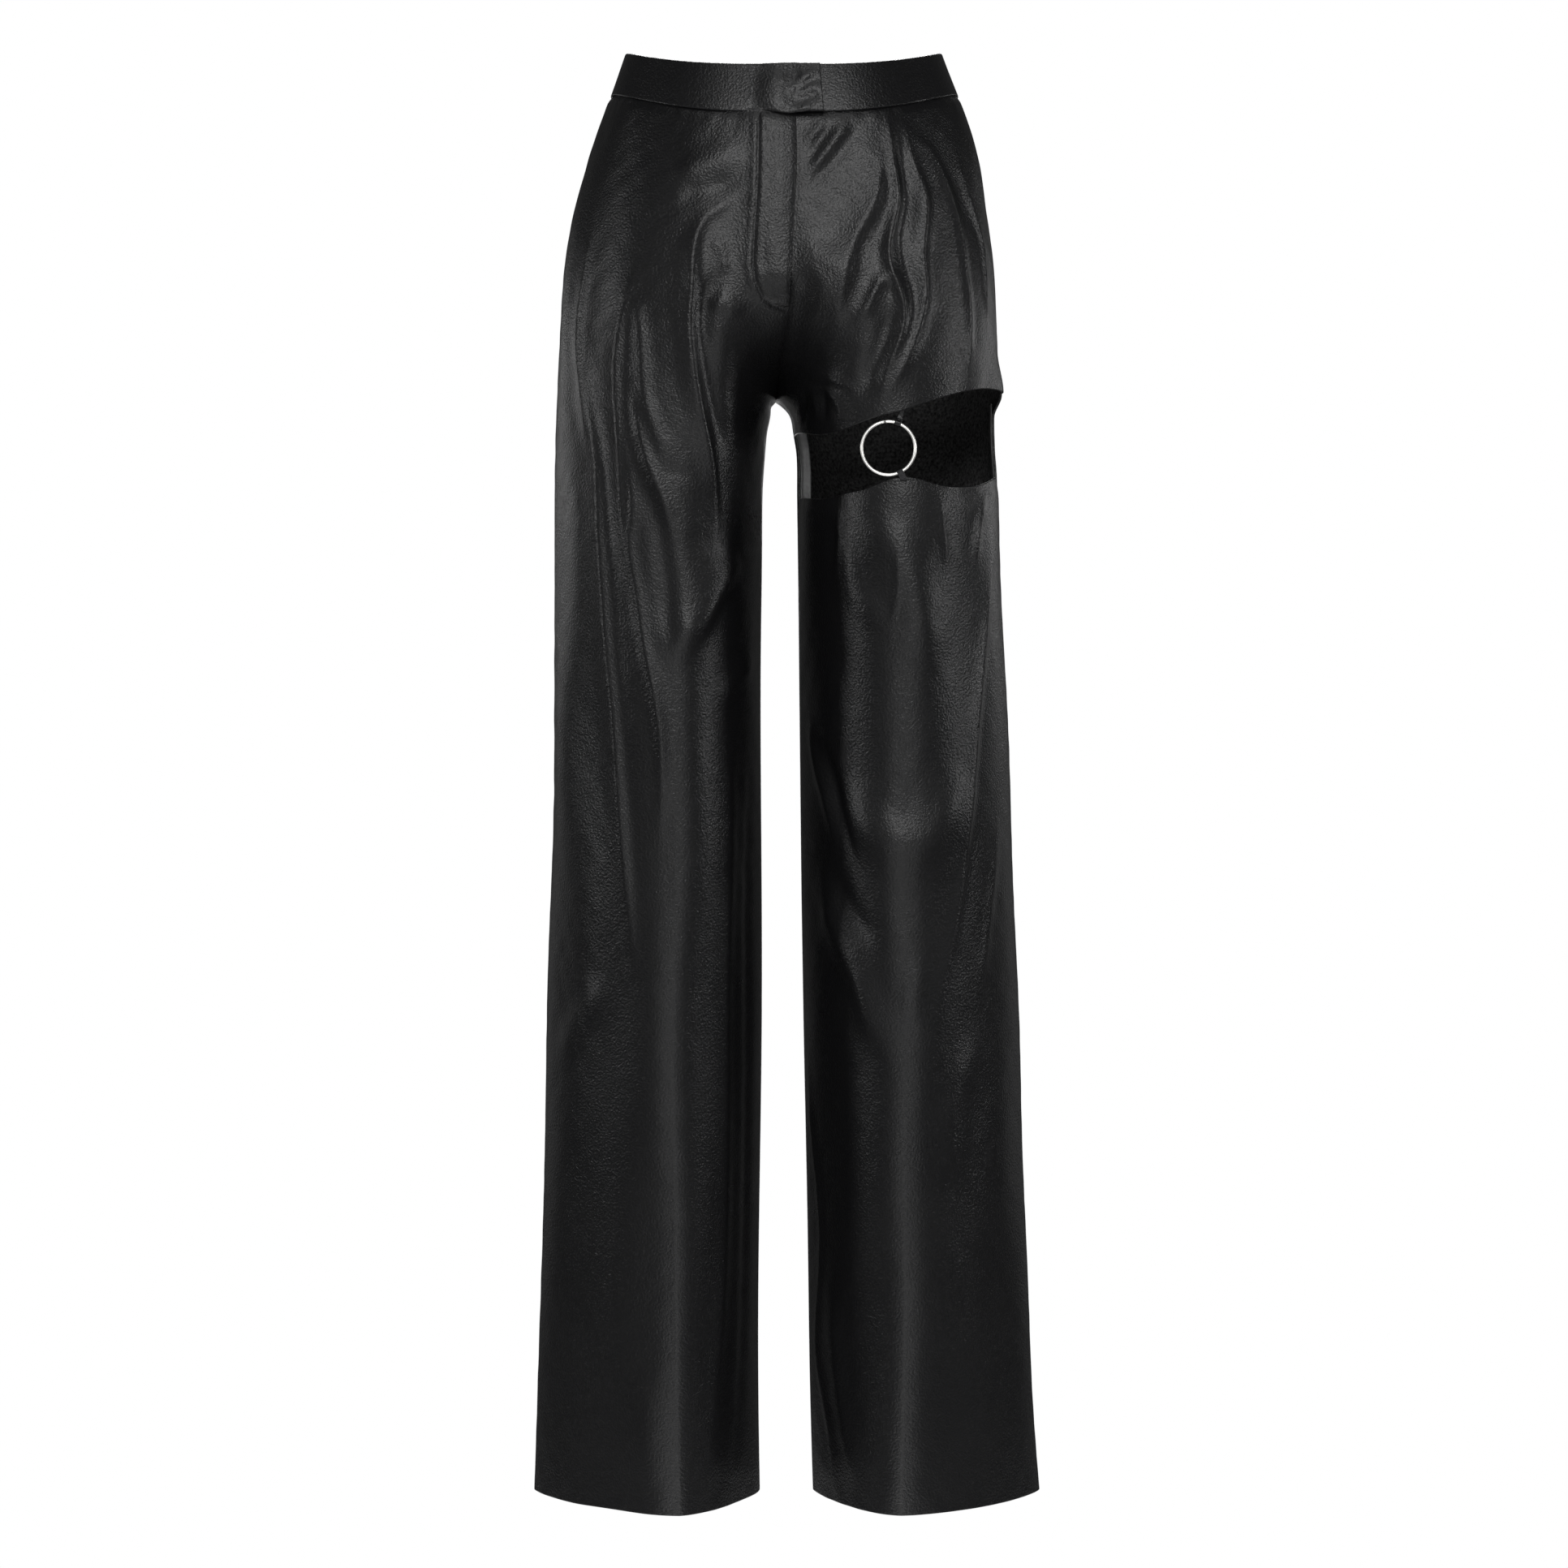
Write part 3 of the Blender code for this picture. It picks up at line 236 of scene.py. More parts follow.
# Folds, in millimetres: a soft ridge, or a trough where the height is below 0, along a path of (x, z) points.
# Each reaches outer towards the outseam and inner towards the inseam, has a sharper crest on it, and fades at
# its ends.
Fold = namedtuple("Fold", "half outer inner height crest path")
FRONT_FOLDS = (
    # right front: the hooked fold beside the fly, with the trough and the dimple inside it
    (9, 4.5, 3.6, 0.8, (
        (-32, -108), (-46, -117), (-57, -124), (-63, -135), (-66, -151), (-67, -175), (-68, -206),
        (-66, -235), (-62, -262), (-56, -292), (-51, -330), (-50, -362),
    )),
    (7, 9, -4.0, 0.0, (
        (-45, -158), (-54, -176), (-60, -196), (-58, -220), (-54, -246), (-48, -275), (-42, -305),
    )),
    (5, 5, 0.9, 0.2, ((-53, -139), (-45, -150), (-43, -168))),
    (7, 7, 1.5, 0.0, ((-54, -193), (-45, -187), (-34, -199))),
    # right front: soft pulls that run out from the fly
    (14, 14, 2.0, 0.0, ((-86, -94), (-55, -84), (-24, -74))),
    (9, 9, -1.2, 0.0, ((-78, -108), (-52, -102), (-34, -97))),
    # right front: long folds that fall from the hip
    (9, 6, 2.0, 0.5, ((-144, -121), (-148, -156), (-152, -187), (-153, -220), (-149, -254), (-146, -290))),
    (12, 5, 3.2, 0.8, (
        (-146, -215), (-144, -264), (-138.5, -303), (-136, -342), (-132.7, -392), (-129.4, -440),
        (-125, -486), (-120, -560), (-114, -640), (-110, -690),
    )),
    (9, 5, 2.8, 0.7, (
        (-112, -158), (-117, -185), (-121.5, -212), (-123.5, -243), (-121.5, -280), (-120, -314),
        (-118, -356), (-115, -395),
    )),
    (5, 6, 2.2, 0.6, (
        (-117, -259), (-114.6, -303), (-111, -342), (-113, -360), (-108.7, -395), (-104, -429), (-99.6, -452),
        (-92.7, -488), (-90, -520), (-92, -582),
    )),
    (6, 5, 1.8, 0.5, ((-111, -250), (-106, -280), (-97, -310), (-88, -333), (-81, -362))),
    (7, 6, 1.7, 0.3, (
        (-112, -172), (-106.5, -200), (-104, -232), (-101, -259), (-92.7, -284.5), (-85.8, -305),
    )),
    (8, 8, -2.4, 0.0, ((-102, -314), (-91, -360), (-86, -406), (-81, -455))),
    (22, 6, 5.0, 0.5, ((-32, -372), (-45, -390), (-52, -404), (-63, -424), (-81, -439), (-92, -447))),
    (4, 4, -0.7, 0.0, ((-88, -308), (-78, -312), (-67, -314))),
    (4, 4, -0.8, 0.0, ((-72, -357), (-62, -361), (-52, -366))),
    (9, 8, 2.0, 0.3, ((-24, -440), (-30, -455), (-38, -464), (-45, -486))),
    (10, 8, 2.2, 0.2, (
        (-27, -470), (-36, -502), (-39, -550), (-42, -635), (-43, -778), (-46, -917), (-57, -1066),
    )),
    (7, 9, -1.8, 0.0, ((-25, -500), (-27, -622), (-28, -805), (-33, -987), (-37, -1060))),
    (13, 13, 2.0, 0.0, ((-130, -684), (-152, -718), (-172, -748))),
    (12, 12, 1.5, 0.0, ((-100, -975), (-102, -1020), (-98, -1060))),
    # both legs: the lower leg's front rounded off, where its section turns sharply
    (9, 9, -0.9, 0.0, (
        (-79, -310), (-81, -490), (-81, -740), (-80, -865), (-78.5, -990), (-76.5, -1085), (-75, -1300),
    )),
    (9, 9, -0.9, 0.0, ((86, -310), (88, -490), (89, -740), (89, -865), (88, -990), (86, -1085), (85, -1300))),
    # left front: pulls from the waist seam towards the fly, and the lit fullness below them
    (3.2, 3.2, 1.1, 0.4, ((31, -52), (20, -64), (11, -71))),
    (4.5, 4.5, -1.4, 0.0, ((38, -54), (24, -71), (13, -88))),
    (6, 6, 1.8, 0.3, ((52, -47), (38, -66), (27, -82), (14, -95))),
    (5, 5, -1.4, 0.0, ((58, -52), (43, -71), (27, -91), (15, -104))),
    (5, 12, 2.4, 0.5, ((72, -70), (71, -89), (64, -118), (54, -136), (47, -160), (41, -188), (37, -206))),
    (20, 20, 3.0, 0.0, ((38, -140), (33, -172), (31, -206))),
    # left front: long folds that fall from the waist seam and the hip
    (5, 5, 3.0, 0.9, (
        (73, -44), (78, -60), (81, -87), (84, -110), (79, -133), (77, -156), (83, -173), (88, -192),
        (84, -215), (75, -238), (71, -257),
    )),
    (6, 5, -2.8, 0.0, ((82, -50), (86, -78), (89, -107), (86, -134), (88, -156), (94, -178), (91, -205))),
    (5, 5, 2.6, 0.8, (
        (90, -52), (92, -64), (98, -90), (103, -102), (104, -124), (102, -153), (104, -175), (100, -201),
        (91, -227), (81, -246), (74, -257),
    )),
    (5.5, 5, 2.2, 0.6, (
        (93, -62), (107, -70), (116, -85), (123, -103), (130, -128), (134, -160), (137, -192), (137, -236),
    )),
    (5, 4.5, 1.8, 0.6, ((128, -66), (139, -108), (146, -128), (150, -160), (153, -200))),
    (5, 5, 1.8, 0.6, ((84, -174), (75, -169), (66, -180), (60, -193), (50, -202))),
    (9, 8, -3.4, 0.0, ((77, -186), (75, -205), (66, -232), (57, -260))),
    # left front: small creases between the crotch and the cut-out
    (4, 5, 0.8, 0.3, ((16, -237), (34, -241), (44, -246), (55, -253))),
    (3.5, 3.5, -0.7, 0.0, ((19, -240), (31, -246), (42, -252))),
    (5, 4, 1.2, 0.3, ((28, -245), (37, -256), (42, -268), (40, -277))),
    (3.5, 3.5, -1.2, 0.0, ((29, -250), (30, -260), (29, -272))),
    (3.5, 3.5, 0.9, 0.0, ((21, -249), (23, -258), (24, -270))),
    (4, 4, -1.2, 0.0, ((16, -246), (15, -256), (14, -270))),
    # left front below the cut-out
    (15, 15, 2.8, 0.2, ((52, -338), (66, -352), (82, -366), (94, -392), (103, -425), (104, -460))),
    (3.5, 3.5, 0.8, 0.3, ((82, -368), (84, -391), (81, -411), (77, -423))),
    (9, 9, 1.6, 0.0, ((46, -352), (49, -384), (58, -407), (76, -426))),
    (4, 4, 0.9, 0.2, ((40, -334), (41, -361), (37, -389))),
    (4, 4, 1.0, 0.4, ((114, -326), (118, -361), (121, -382))),
    (6, 5, 1.8, 0.5, ((152, -324), (145, -348), (143, -376))),
    (5, 7, 1.6, 0.6, (
        (158, -352), (152.5, -407), (147, -462), (142, -510), (138.6, -545), (135, -575), (127.6, -640),
        (117, -694), (112, -730),
    )),
    (6, 6, 1.0, 0.2, ((162, -560), (156, -616), (151, -658), (144, -704))),
    (18, 18, 4.6, 0.0, ((48, -535), (60, -566), (82, -584), (104, -583), (120, -564), (138, -532))),
    (7, 7, 2.6, 0.5, ((18, -488), (24, -522), (33, -556), (40, -588))),
    (5, 5, -2.2, 0.0, ((28, -508), (39, -542), (46, -572), (55, -600))),
    (13, 11, 3.8, 0.5, ((28, -606), (39, -652), (55, -684), (64, -715), (79, -742))),
    (8, 8, -2.0, 0.0, ((36, -606), (51, -634), (67, -660))),
    (8, 8, 1.0, 0.0, ((102, -670), (97, -690), (93, -716))),
    (13, 13, 2.4, 0.0, ((149, -728), (131, -760), (127, -796), (124, -840))),
    (6, 5, 1.4, 0.4, ((17, -720), (22, -807), (28, -898), (26, -975), (31, -1007), (38, -1068))),
    (12, 10, 2.0, 0.2, ((36, -910), (44, -1015), (54, -1066))),
)
BACK_FOLDS = (
    # drag lines under the seat and long folds down the legs, different on the two sides
    (13, 13, -3.6, 0.0, ((-28, -262), (-70, -242), (-118, -206))),
    (10, 10, 3.4, 0.8, ((-40, -292), (-92, -278), (-140, -246))),
    (12, 8, 3.6, 0.8, ((-128, -300), (-118, -420), (-124, -600))),
    (10, 8, 3.4, 0.7, ((-60, -380), (-72, -520), (-66, -720))),
    (14, 14, -2.8, 0.0, ((-110, -640), (-86, -700), (-50, -735))),
    (7, 7, 1.8, 0.6, ((-30, -200), (-52, -214), (-80, -218))),
    (7, 6, 2.0, 0.6, ((-36, -300), (-38, -420), (-46, -560), (-44, -700))),
    (8, 7, 2.0, 0.5, ((-150, -420), (-146, -560), (-150, -760))),
    (10, 9, 2.2, 0.4, ((-92, -760), (-84, -880), (-90, -1040))),
    (13, 13, -3.6, 0.0, ((26, -258), (62, -246), (112, -218))),
    (9, 9, 3.4, 0.8, ((36, -300), (84, -292), (128, -262))),
    (11, 8, 3.6, 0.8, ((136, -280), (122, -430), (130, -640))),
    (11, 9, 3.0, 0.6, ((64, -420), (76, -580), (70, -800))),
    (14, 14, -2.8, 0.0, ((132, -560), (98, -615), (56, -640))),
    (7, 7, 1.8, 0.6, ((30, -196), (58, -208), (92, -206))),
    (7, 6, 2.0, 0.6, ((34, -310), (40, -450), (36, -620), (44, -760))),
    (9, 8, 2.0, 0.4, ((104, -700), (112, -840), (106, -1030))),
    # both legs: the lower leg's back rounded off
    (9, 9, -0.9, 0.0, (
        (-90, -310), (-93, -490), (-98, -740), (-100, -865), (-102, -990), (-104, -1085), (-105, -1300),
    )),
    (9, 9, -0.9, 0.0, (
        (90, -310), (93, -490), (98, -740), (100, -865), (102, -990), (104, -1085), (105, -1300),
    )),
)
FOLDS = [Fold(FRONT, *row) for row in FRONT_FOLDS] + [Fold(BACK, *row) for row in BACK_FOLDS]
CREST_SHARE = 0.34  # a crest's width as a share of its fold's
PATH_STEP, FOLD_REACH = 0.0060, 2.6  # folds' paths are rounded with points this far apart
FOLD_FADE = 0.0180  # folds die out over this distance from the rises, the inseams and the waist seam
FOLD_END, FOLD_START = 0.35, 0.15  # a fold grows over this share of its length, from a start of this share

# The fly's topstitching: its path in (x, z), in millimetres, and its stitches
FLY_STITCHING = (
    (-18.5, -49), (-19.1, -96), (-22.0, -143), (-22.6, -161),
    (-20.8, -172), (-15.5, -183), (-8.3, -188), (0.8, -190.6),
)
FLY_BEND = -0.1580  # below this height the topstitching bends towards the middle
STITCH_PITCH, STITCH_LENGTH, STITCH_RADIUS = 0.0023, 0.0016, 0.00028
STITCH_STANDS = 0.5  # a stitch's middle lies off the leather by this share of its radius
WELL_IN_FRONT = -1.0  # the y from which the leather's place under a stitch is found
STITCH_DENT, STITCH_DENT_WIDTH = 0.0007, 0.0010
STITCH_PUFF, STITCH_PUFF_AT, STITCH_PUFF_WIDTH = 0.0003, 0.0036, 0.0022  # the leather stands up beside them
BEAD_RINGS, BEAD_END, BEAD_FULLNESS = 7, 0.35, 0.6  # a stitch's or tooth's rings, and how its ends narrow

# How far the cloth dips beside a seam, and how wide the dip is: along legs and rises, and at the waistband
SEAM_SINK, SEAM_SINK_WIDTH = 0.0006, 0.0026
WAIST_SINK, WAIST_SINK_WIDTH = 0.0019, 0.0030
SETTLED = 0.0060  # the cloth lies even within this distance of its sewn top

# The lower panel's cut edge leans in
CUT_LEAN, CUT_LEAN_REACH = 0.0014, 0.0090

# Uneven cloth: slow waves, in ranges of lengths round and down the leg, and fine ones alike both ways
WAVE_SEED = 11
SLOW_WAVES, SLOW_ROUND, SLOW_DOWN, SLOW_HEIGHT = 12, (0.060, 0.140), (0.150, 0.420), 0.00018
FINE_WAVES, FINE_LENGTH, FINE_HEIGHT = 18, (0.018, 0.045), 0.000022

# Puckers that the waist seam draws in the cloth below it, and longer ones between them
PUCKER_LENGTH, PUCKER_REACH, PUCKER_HEIGHT = 0.0130, 0.0080, 0.00022
LONG_PUCKER, LONG_PUCKER_SHARE, LONG_PUCKER_PHASE = 1.7 * PUCKER_LENGTH, 0.7, 1.0

# The thread winding that holds the ring to the lower edge
WINDING_TURNS, WINDING_PITCH, WINDING_RADIUS = 7, 0.00066, 0.00034
WINDING_BITE = 0.0022  # how far below the edge its thread goes through the leather
WINDING_SHORTER = 0.25  # the outer turns bite less deep by this share
WINDING_OFF = 1.3  # a turn's middle lies off the wire by this many of its radii
WINDING_ROUND = 14  # its points round the wire
# The rest of a turn, from the wire through the leather and back: shares of the reach to the bite and of the
# depth to the leather's face, then how many thread radii further out, walls further in and radii further in
WINDING_PATH = (
    (0.55, 0.75, 0, 0.0, -1.0), (1.0, 1.0, 0, 0.0, -0.6), (1.0, 1.0, 1, 0.5, 0.0),
    (1.0, 1.0, 0, 1.0, 0.6), (0.5, 1.0, 0, 1.0, 1.2),
)


def smooth_step(t):
    """0 up to t = 0 and 1 from t = 1, and a smooth rise between them."""
    t = np.clip(t, 0.0, 1.0)
    return t * t * (3.0 - 2.0 * t)


def hump(distance, width):
    """1 at no distance, and falling away evenly on both sides."""
    return np.exp(-((distance / width) ** 2))


def run_along(path):
    """How far along a path each of its points lies."""
    return np.concatenate(((0.0,), np.cumsum(np.hypot(*np.diff(path, axis=0).T))))


def spline(knots, values):
    """A natural cubic spline through one column of a table, as a function."""
    order = np.argsort(knots)
    k, v = np.asarray(knots, float)[order], np.asarray(values, float)[order]
    n, h = len(k), np.diff(k)
    system, right = np.eye(n), np.zeros(n)
    for i in range(1, n - 1):
        system[i, i - 1 : i + 2] = h[i - 1], 2 * (h[i - 1] + h[i]), h[i]
        right[i] = 6 * ((v[i + 1] - v[i]) / h[i] - (v[i] - v[i - 1]) / h[i - 1])
    bend = np.linalg.solve(system, right)

    def at(x):
        x = np.clip(x, k[0], k[-1])
        i = np.clip(np.searchsorted(k, x) - 1, 0, n - 2)
        a, b = (k[i + 1] - x) / h[i], (x - k[i]) / h[i]
        curved = (a**3 - a) * bend[i] + (b**3 - b) * bend[i + 1]
        return a * v[i] + b * v[i + 1] + curved * h[i] ** 2 / 6

    return at


def columns(table, key):
    """A spline for each column of a table of named rows."""
    values = {name: [getattr(row, name) for row in table] for name in table[0]._fields}
    knots = values.pop(key)
    return {name: spline(knots, column) for name, column in values.items()}


BODY = columns(SECTIONS, "z")
INSEAM = columns(SLIT, "z")
RISE = columns(RISES, "z")
CUT = columns(CUT_OUT, "x")


def inner_edge(side, half, z):
    """How far the panel's inner edge lies from the middle, on its own side."""
    leg = side * INSEAM[SIDE_NAME[side]](z)
    rise = side * RISE[HALF_NAME[half]](z) + SEAM_GAP / 2
    if (side, half) == (LEFT, FRONT):
        rise = rise - FLY_UNDERLAP * smooth_step((z - TUCK_END) / FLY_BLEND)
    return np.where(z >= CROTCH, rise, leg)


def arcs(side, half, z):
    """The panel's section at each height: x, y and arc length from the outseam, at ARC_POINTS * 2 points."""
    z = np.asarray(z, float)[..., None]
    wide, deep = BODY[SIDE_NAME[side]](z), BODY[HALF_NAME[half]](z)
    apex = BODY["back_apex" if half == BACK else SIDE_NAME[side] + "_apex"](z)
    power = 2.0 / BODY["roundness"](z)
    under = np.clip((CROTCH + HOOK[half] - z) / HOOK[half], 0.0, 1.0)
    last = np.arcsin((SEAM_DEPTH[half] * (1.0 - under**2)) ** (1.0 / power))
    outer = np.linspace(0.0, math.pi / 2, ARC_POINTS)
    inner = math.pi / 2 + (last - math.pi / 2) * np.linspace(0.0, 1.0, ARC_POINTS + 1)[1:]
    edge = inner_edge(side, half, z)
    parting = smooth_step(1.0 - (CROTCH - z) / SLIT_SPREAD)
    soft = np.where(z < CROTCH, edge + (side * CROTCH_X - edge) * parting, edge)
    reach = (apex - soft) / np.maximum(np.cos(last), TINY) ** power
    turn = np.maximum(np.cos(inner), 0.0) ** power
    inner_x = apex - reach * turn - (soft - edge) * turn**SLIT_TIGHTNESS
    outer_x = apex + (wide - apex) * np.maximum(np.cos(outer), 0.0) ** power
    x = np.concatenate((outer_x, inner_x), axis=-1)
    angle = np.concatenate((np.broadcast_to(outer, z.shape[:-1] + outer.shape), inner), axis=-1)
    y = half * (SEAM_GAP / 2 + deep * np.maximum(np.sin(angle), 0.0) ** power)
    steps = np.hypot(np.diff(x, axis=-1), np.diff(y, axis=-1))
    length = np.concatenate((np.zeros_like(z), np.cumsum(steps, axis=-1)), axis=-1)
    return side * x, y, length


def along(values, length, s):
    """values read at arc length s on each section, on a smooth curve through its points."""
    last = length.shape[-1] - 1
    i = np.clip((length < s[..., None]).sum(axis=-1) - 1, 0, last - 1)

    def at(table, j):
        return np.take_along_axis(table, np.clip(j, 0, last)[..., None], -1)[..., 0]

    (a, b), (v, w) = ((at(table, i), at(table, i + 1)) for table in (length, values))
    gap = np.maximum(b - a, TINY)
    leaving = (w - at(values, i - 1)) / np.maximum(b - at(length, i - 1), TINY) * gap
    arriving = (at(values, i + 2) - v) / np.maximum(at(length, i + 2) - a, TINY) * gap
    square = 3 * (w - v) - 2 * leaving - arriving
    cube = 2 * (v - w) + leaving + arriving
    t = (s - a) / gap
    return v + t * leaving + t**2 * square + t**3 * cube


PANELS = ((RIGHT, FRONT), (RIGHT, BACK), (LEFT, FRONT), (LEFT, BACK))
LEG_ROUND = {(side, half): arcs(side, half, CROTCH)[2][-1] for side, half in PANELS}


def round_to(side, half, u, length):
    """Arc length from the outseam to column u. Sections are shorter above the crotch. The columns run closer
    together there near the rise, so that further out they stay over those of the leg."""
    total = length[..., -1]
    spare = np.clip(LEG_ROUND[side, half] / total - 1.0, 0.0, MOST_SPARE)
    return total * u * (1.0 + spare * (1.0 - u**2))


def seam_height(side, half, u, edge=BAND_SEAM):
    """Height of the waistband's top or lower edge."""
    row = u[0] if u.ndim > 1 else u
    _, y, length = arcs(side, half, np.full_like(row, edge))
    depth = np.abs(along(y, length, round_to(side, half, row, length))) / np.abs(y).max(axis=-1)
    dip, rise, shape = EDGE_DIPS[edge]
    return edge + (-dip * depth**shape if half == FRONT else rise * depth)


def sag(x):
    """How far the waistband's tab, and the seam under it, hang below the waist seam."""
    return TAB_SAG * smooth_step(1.0 - np.abs(x - TAB_SAG_X) / TAB_SAG_WIDTH)


def laid(fold):
    """A fold's leg, and its path there as (round, z) points: round is arc length from the outseam, below 0 on
    the back."""
    side = RIGHT if fold.path[0][0] < 0 else LEFT
    path = np.array(fold.path) * MM
    gone = run_along(path)
    places = np.linspace(0.0, gone[-1], math.ceil(gone[-1] / PATH_STEP) + 1)
    x, z = (spline(gone, path[:, axis])(places) for axis in (0, 1))
    across, _, length = arcs(side, fold.half, z)
    round_it = [np.interp(x[i] * side, across[i, ::-1] * side, length[i, ::-1]) for i in range(len(z))]
    return side, np.column_stack((-fold.half * np.array(round_it), z))


LAID_FOLDS = [(fold, *laid(fold)) for fold in FOLDS]


def nearness(path, across, z):
    """How far each point lies from a path, how far along the path it is, the path's length, and how much
    further round the leg than the path it lies."""
    steps = np.hypot(*np.diff(path, axis=0).T)
    far, place, beside = np.full_like(z, np.inf), np.zeros_like(z), np.zeros_like(z)
    for i, step in enumerate(steps):
        (r0, z0), (r1, z1) = path[i], path[i + 1]
        t = np.clip(((across - r0) * (r1 - r0) + (z - z0) * (z1 - z0)) / step**2, 0.0, 1.0)
        past = across - r0 - t * (r1 - r0)
        away = np.hypot(past, z - z0 - t * (z1 - z0))
        nearer = away < far
        place = np.where(nearer, steps[:i].sum() + t * step, place)
        beside = np.where(nearer, past, beside)
        far = np.minimum(far, away)
    return far, place, steps.sum(), beside


def fold_ends(place, whole):
    """How much of its height a fold has at a place along its whole length."""
    return smooth_step(np.minimum(place, whole - place) / (FOLD_END * whole) + FOLD_START)


def relief(side, half, s, total, z, below_seam):
    """How far the folds move the surface out, at arc length s of total, a distance below the waist seam."""
    height = np.zeros_like(z)
    across = -half * s
    for fold, fold_side, path in LAID_FOLDS:
        reach = FOLD_REACH * max(fold.outer, fold.inner) * MM
        (low_r, low_z), (high_r, high_z) = path.min(axis=0) - reach, path.max(axis=0) + reach
        near = (across > low_r) & (across < high_r) & (z > low_z) & (z < high_z)
        if fold_side != side or not near.any():
            continue
        far, place, whole, beside = nearness(path, across[near], z[near])
        # The two sides' widths blend over the crest, by how squarely the point lies beside the path
        turn = 0.5 - 0.5 * fold.half * beside / np.maximum(far, TINY)
        width = (fold.outer + (fold.inner - fold.outer) * turn) * MM
        form = fold.height * hump(far, width) + fold.crest * hump(far, CREST_SHARE * width)
        height[near] += form * MM * fold_ends(place, whole)
    covered = FLY_UNDERLAP if (side, half) == (LEFT, FRONT) else 0.0
    return height * smooth_step((total - s - covered) / FOLD_FADE) * smooth_step(below_seam / FOLD_FADE)


def flap(x, z):
    """How far the fly's flap stands out from the right front."""
    past_curve = np.clip((FLY_END + FLY_CURVE - z) / FLY_CURVE, 0.0, 1.0)
    width = FLY_WIDTH * np.sqrt(1.0 - past_curve**2)
    from_edge = RISE["front"](z) - x
    across = smooth_step((width - from_edge) / FLY_RAMP)
    swell = FLY_SWELL * hump(from_edge - FLY_SWELL_AT, FLY_SWELL_WIDTH)
    swell = swell * smooth_step((z - FLY_END) / FLY_SWELL_FADE)
    return FLY_LIFT * np.where(z > FLY_END - FLY_BLEND, across, 0.0) + swell


def flare(s, z):
    """How far the left outseam stands out where the cut-out opens."""
    rise = smooth_step((FLARE_TOP - z) / (FLARE_TOP - FLARE_PEAK))
    fall = smooth_step((z - FLARE_BOTTOM) / (FLARE_PEAK - FLARE_BOTTOM))
    return FLARE * rise * fall * (1.0 - smooth_step(s / FLARE_REACH))


def waves(count, round_range, down_range, seed):
    """Seeded waves as (turns per metre round the leg, turns per metre down it, phase)."""
    draw = np.random.default_rng(seed)
    lengths = draw.uniform(*round_range, count), draw.uniform(*down_range, count)
    signs = draw.choice((-1.0, 1.0), (2, count))
    phases = draw.uniform(0.0, 2 * math.pi, count)
    return np.column_stack((signs[0] / lengths[0], signs[1] / lengths[1], phases))


SLOW = waves(SLOW_WAVES, SLOW_ROUND, SLOW_DOWN, WAVE_SEED)
FINE = waves(FINE_WAVES, FINE_LENGTH, FINE_LENGTH, WAVE_SEED + 1)


def uneven(side, half, s, z):
    """How far the cloth's own unevenness moves the surface out."""
    across = side - half * s
    height = np.zeros_like(z)
    for table, size in ((SLOW, SLOW_HEIGHT), (FINE, FINE_HEIGHT)):
        for per_round, per_down, phase in table:
            height += size * np.sin(2 * math.pi * (per_round * across + per_down * z) + phase)
    return height


def puckers(side, half, s, below_seam):
    """Small pulls in the cloth just below the waist seam."""
    across = 2 * math.pi * (side - half * s)
    pull = np.sin(across / PUCKER_LENGTH)
    pull = pull + LONG_PUCKER_SHARE * np.sin(across / LONG_PUCKER + LONG_PUCKER_PHASE)
    return PUCKER_HEIGHT * pull * np.exp(-below_seam / PUCKER_REACH)


def stitch_dent(x, z):
    """How deep the fly's topstitching draws the leather in."""
    far = nearness(np.array(FLY_STITCHING) * MM, x, z)[0]
    puff = STITCH_PUFF * hump(far - STITCH_PUFF_AT, STITCH_PUFF_WIDTH)
    return STITCH_DENT * hump(far, STITCH_DENT_WIDTH) - puff


def rolled(distance, wall):
    """How far each face of a wall curls to the wall's middle, at a distance from its edge."""
    radius = EDGE_ROLL * wall
    inside = np.clip(distance / radius, 0.0, 1.0)
    return radius * (1.0 - np.sqrt(1.0 - (1.0 - inside) ** 2))


def on_seam(distance):
    """How deep the cloth dips beside a seam down the leg or a rise."""
    return SEAM_SINK * hump(distance, SEAM_SINK_WIDTH)


def section(side, half, u, z):
    """Points of the panel's bare form, the way out from it, arc length and the section's whole length."""
    x, y, length = arcs(side, half, z)
    total = length[..., -1]
    s = round_to(side, half, u, length)
    at_x, at_y = along(x, length, s), along(y, length, s)
    before, after = np.clip(s - NORMAL_STEP, 0, total), np.clip(s + NORMAL_STEP, 0, total)
    run_x = along(x, length, after) - along(x, length, before)
    run_y = along(y, length, after) - along(y, length, before)
    turn = -side * half / np.hypot(run_x, run_y)
    on_leg_seam = (u <= 0.0) | ((u >= 1.0) & (z < CROTCH))
    out_x = np.where(on_leg_seam, np.where(u <= 0.0, side, -side), -run_y * turn)
    out_y = np.where(on_leg_seam, 0.0, run_x * turn)
    return at_x, at_y, out_x, out_y, s, total


def faces(base, out, lift, wall, roll, z):
    """The outer and inner faces of a wall on a bare form."""
    (x, y), (out_x, out_y) = base, out
    return [np.stack((x + out_x * d, y + out_y * d, z), axis=-1) for d in (lift - roll, lift - wall + roll)]


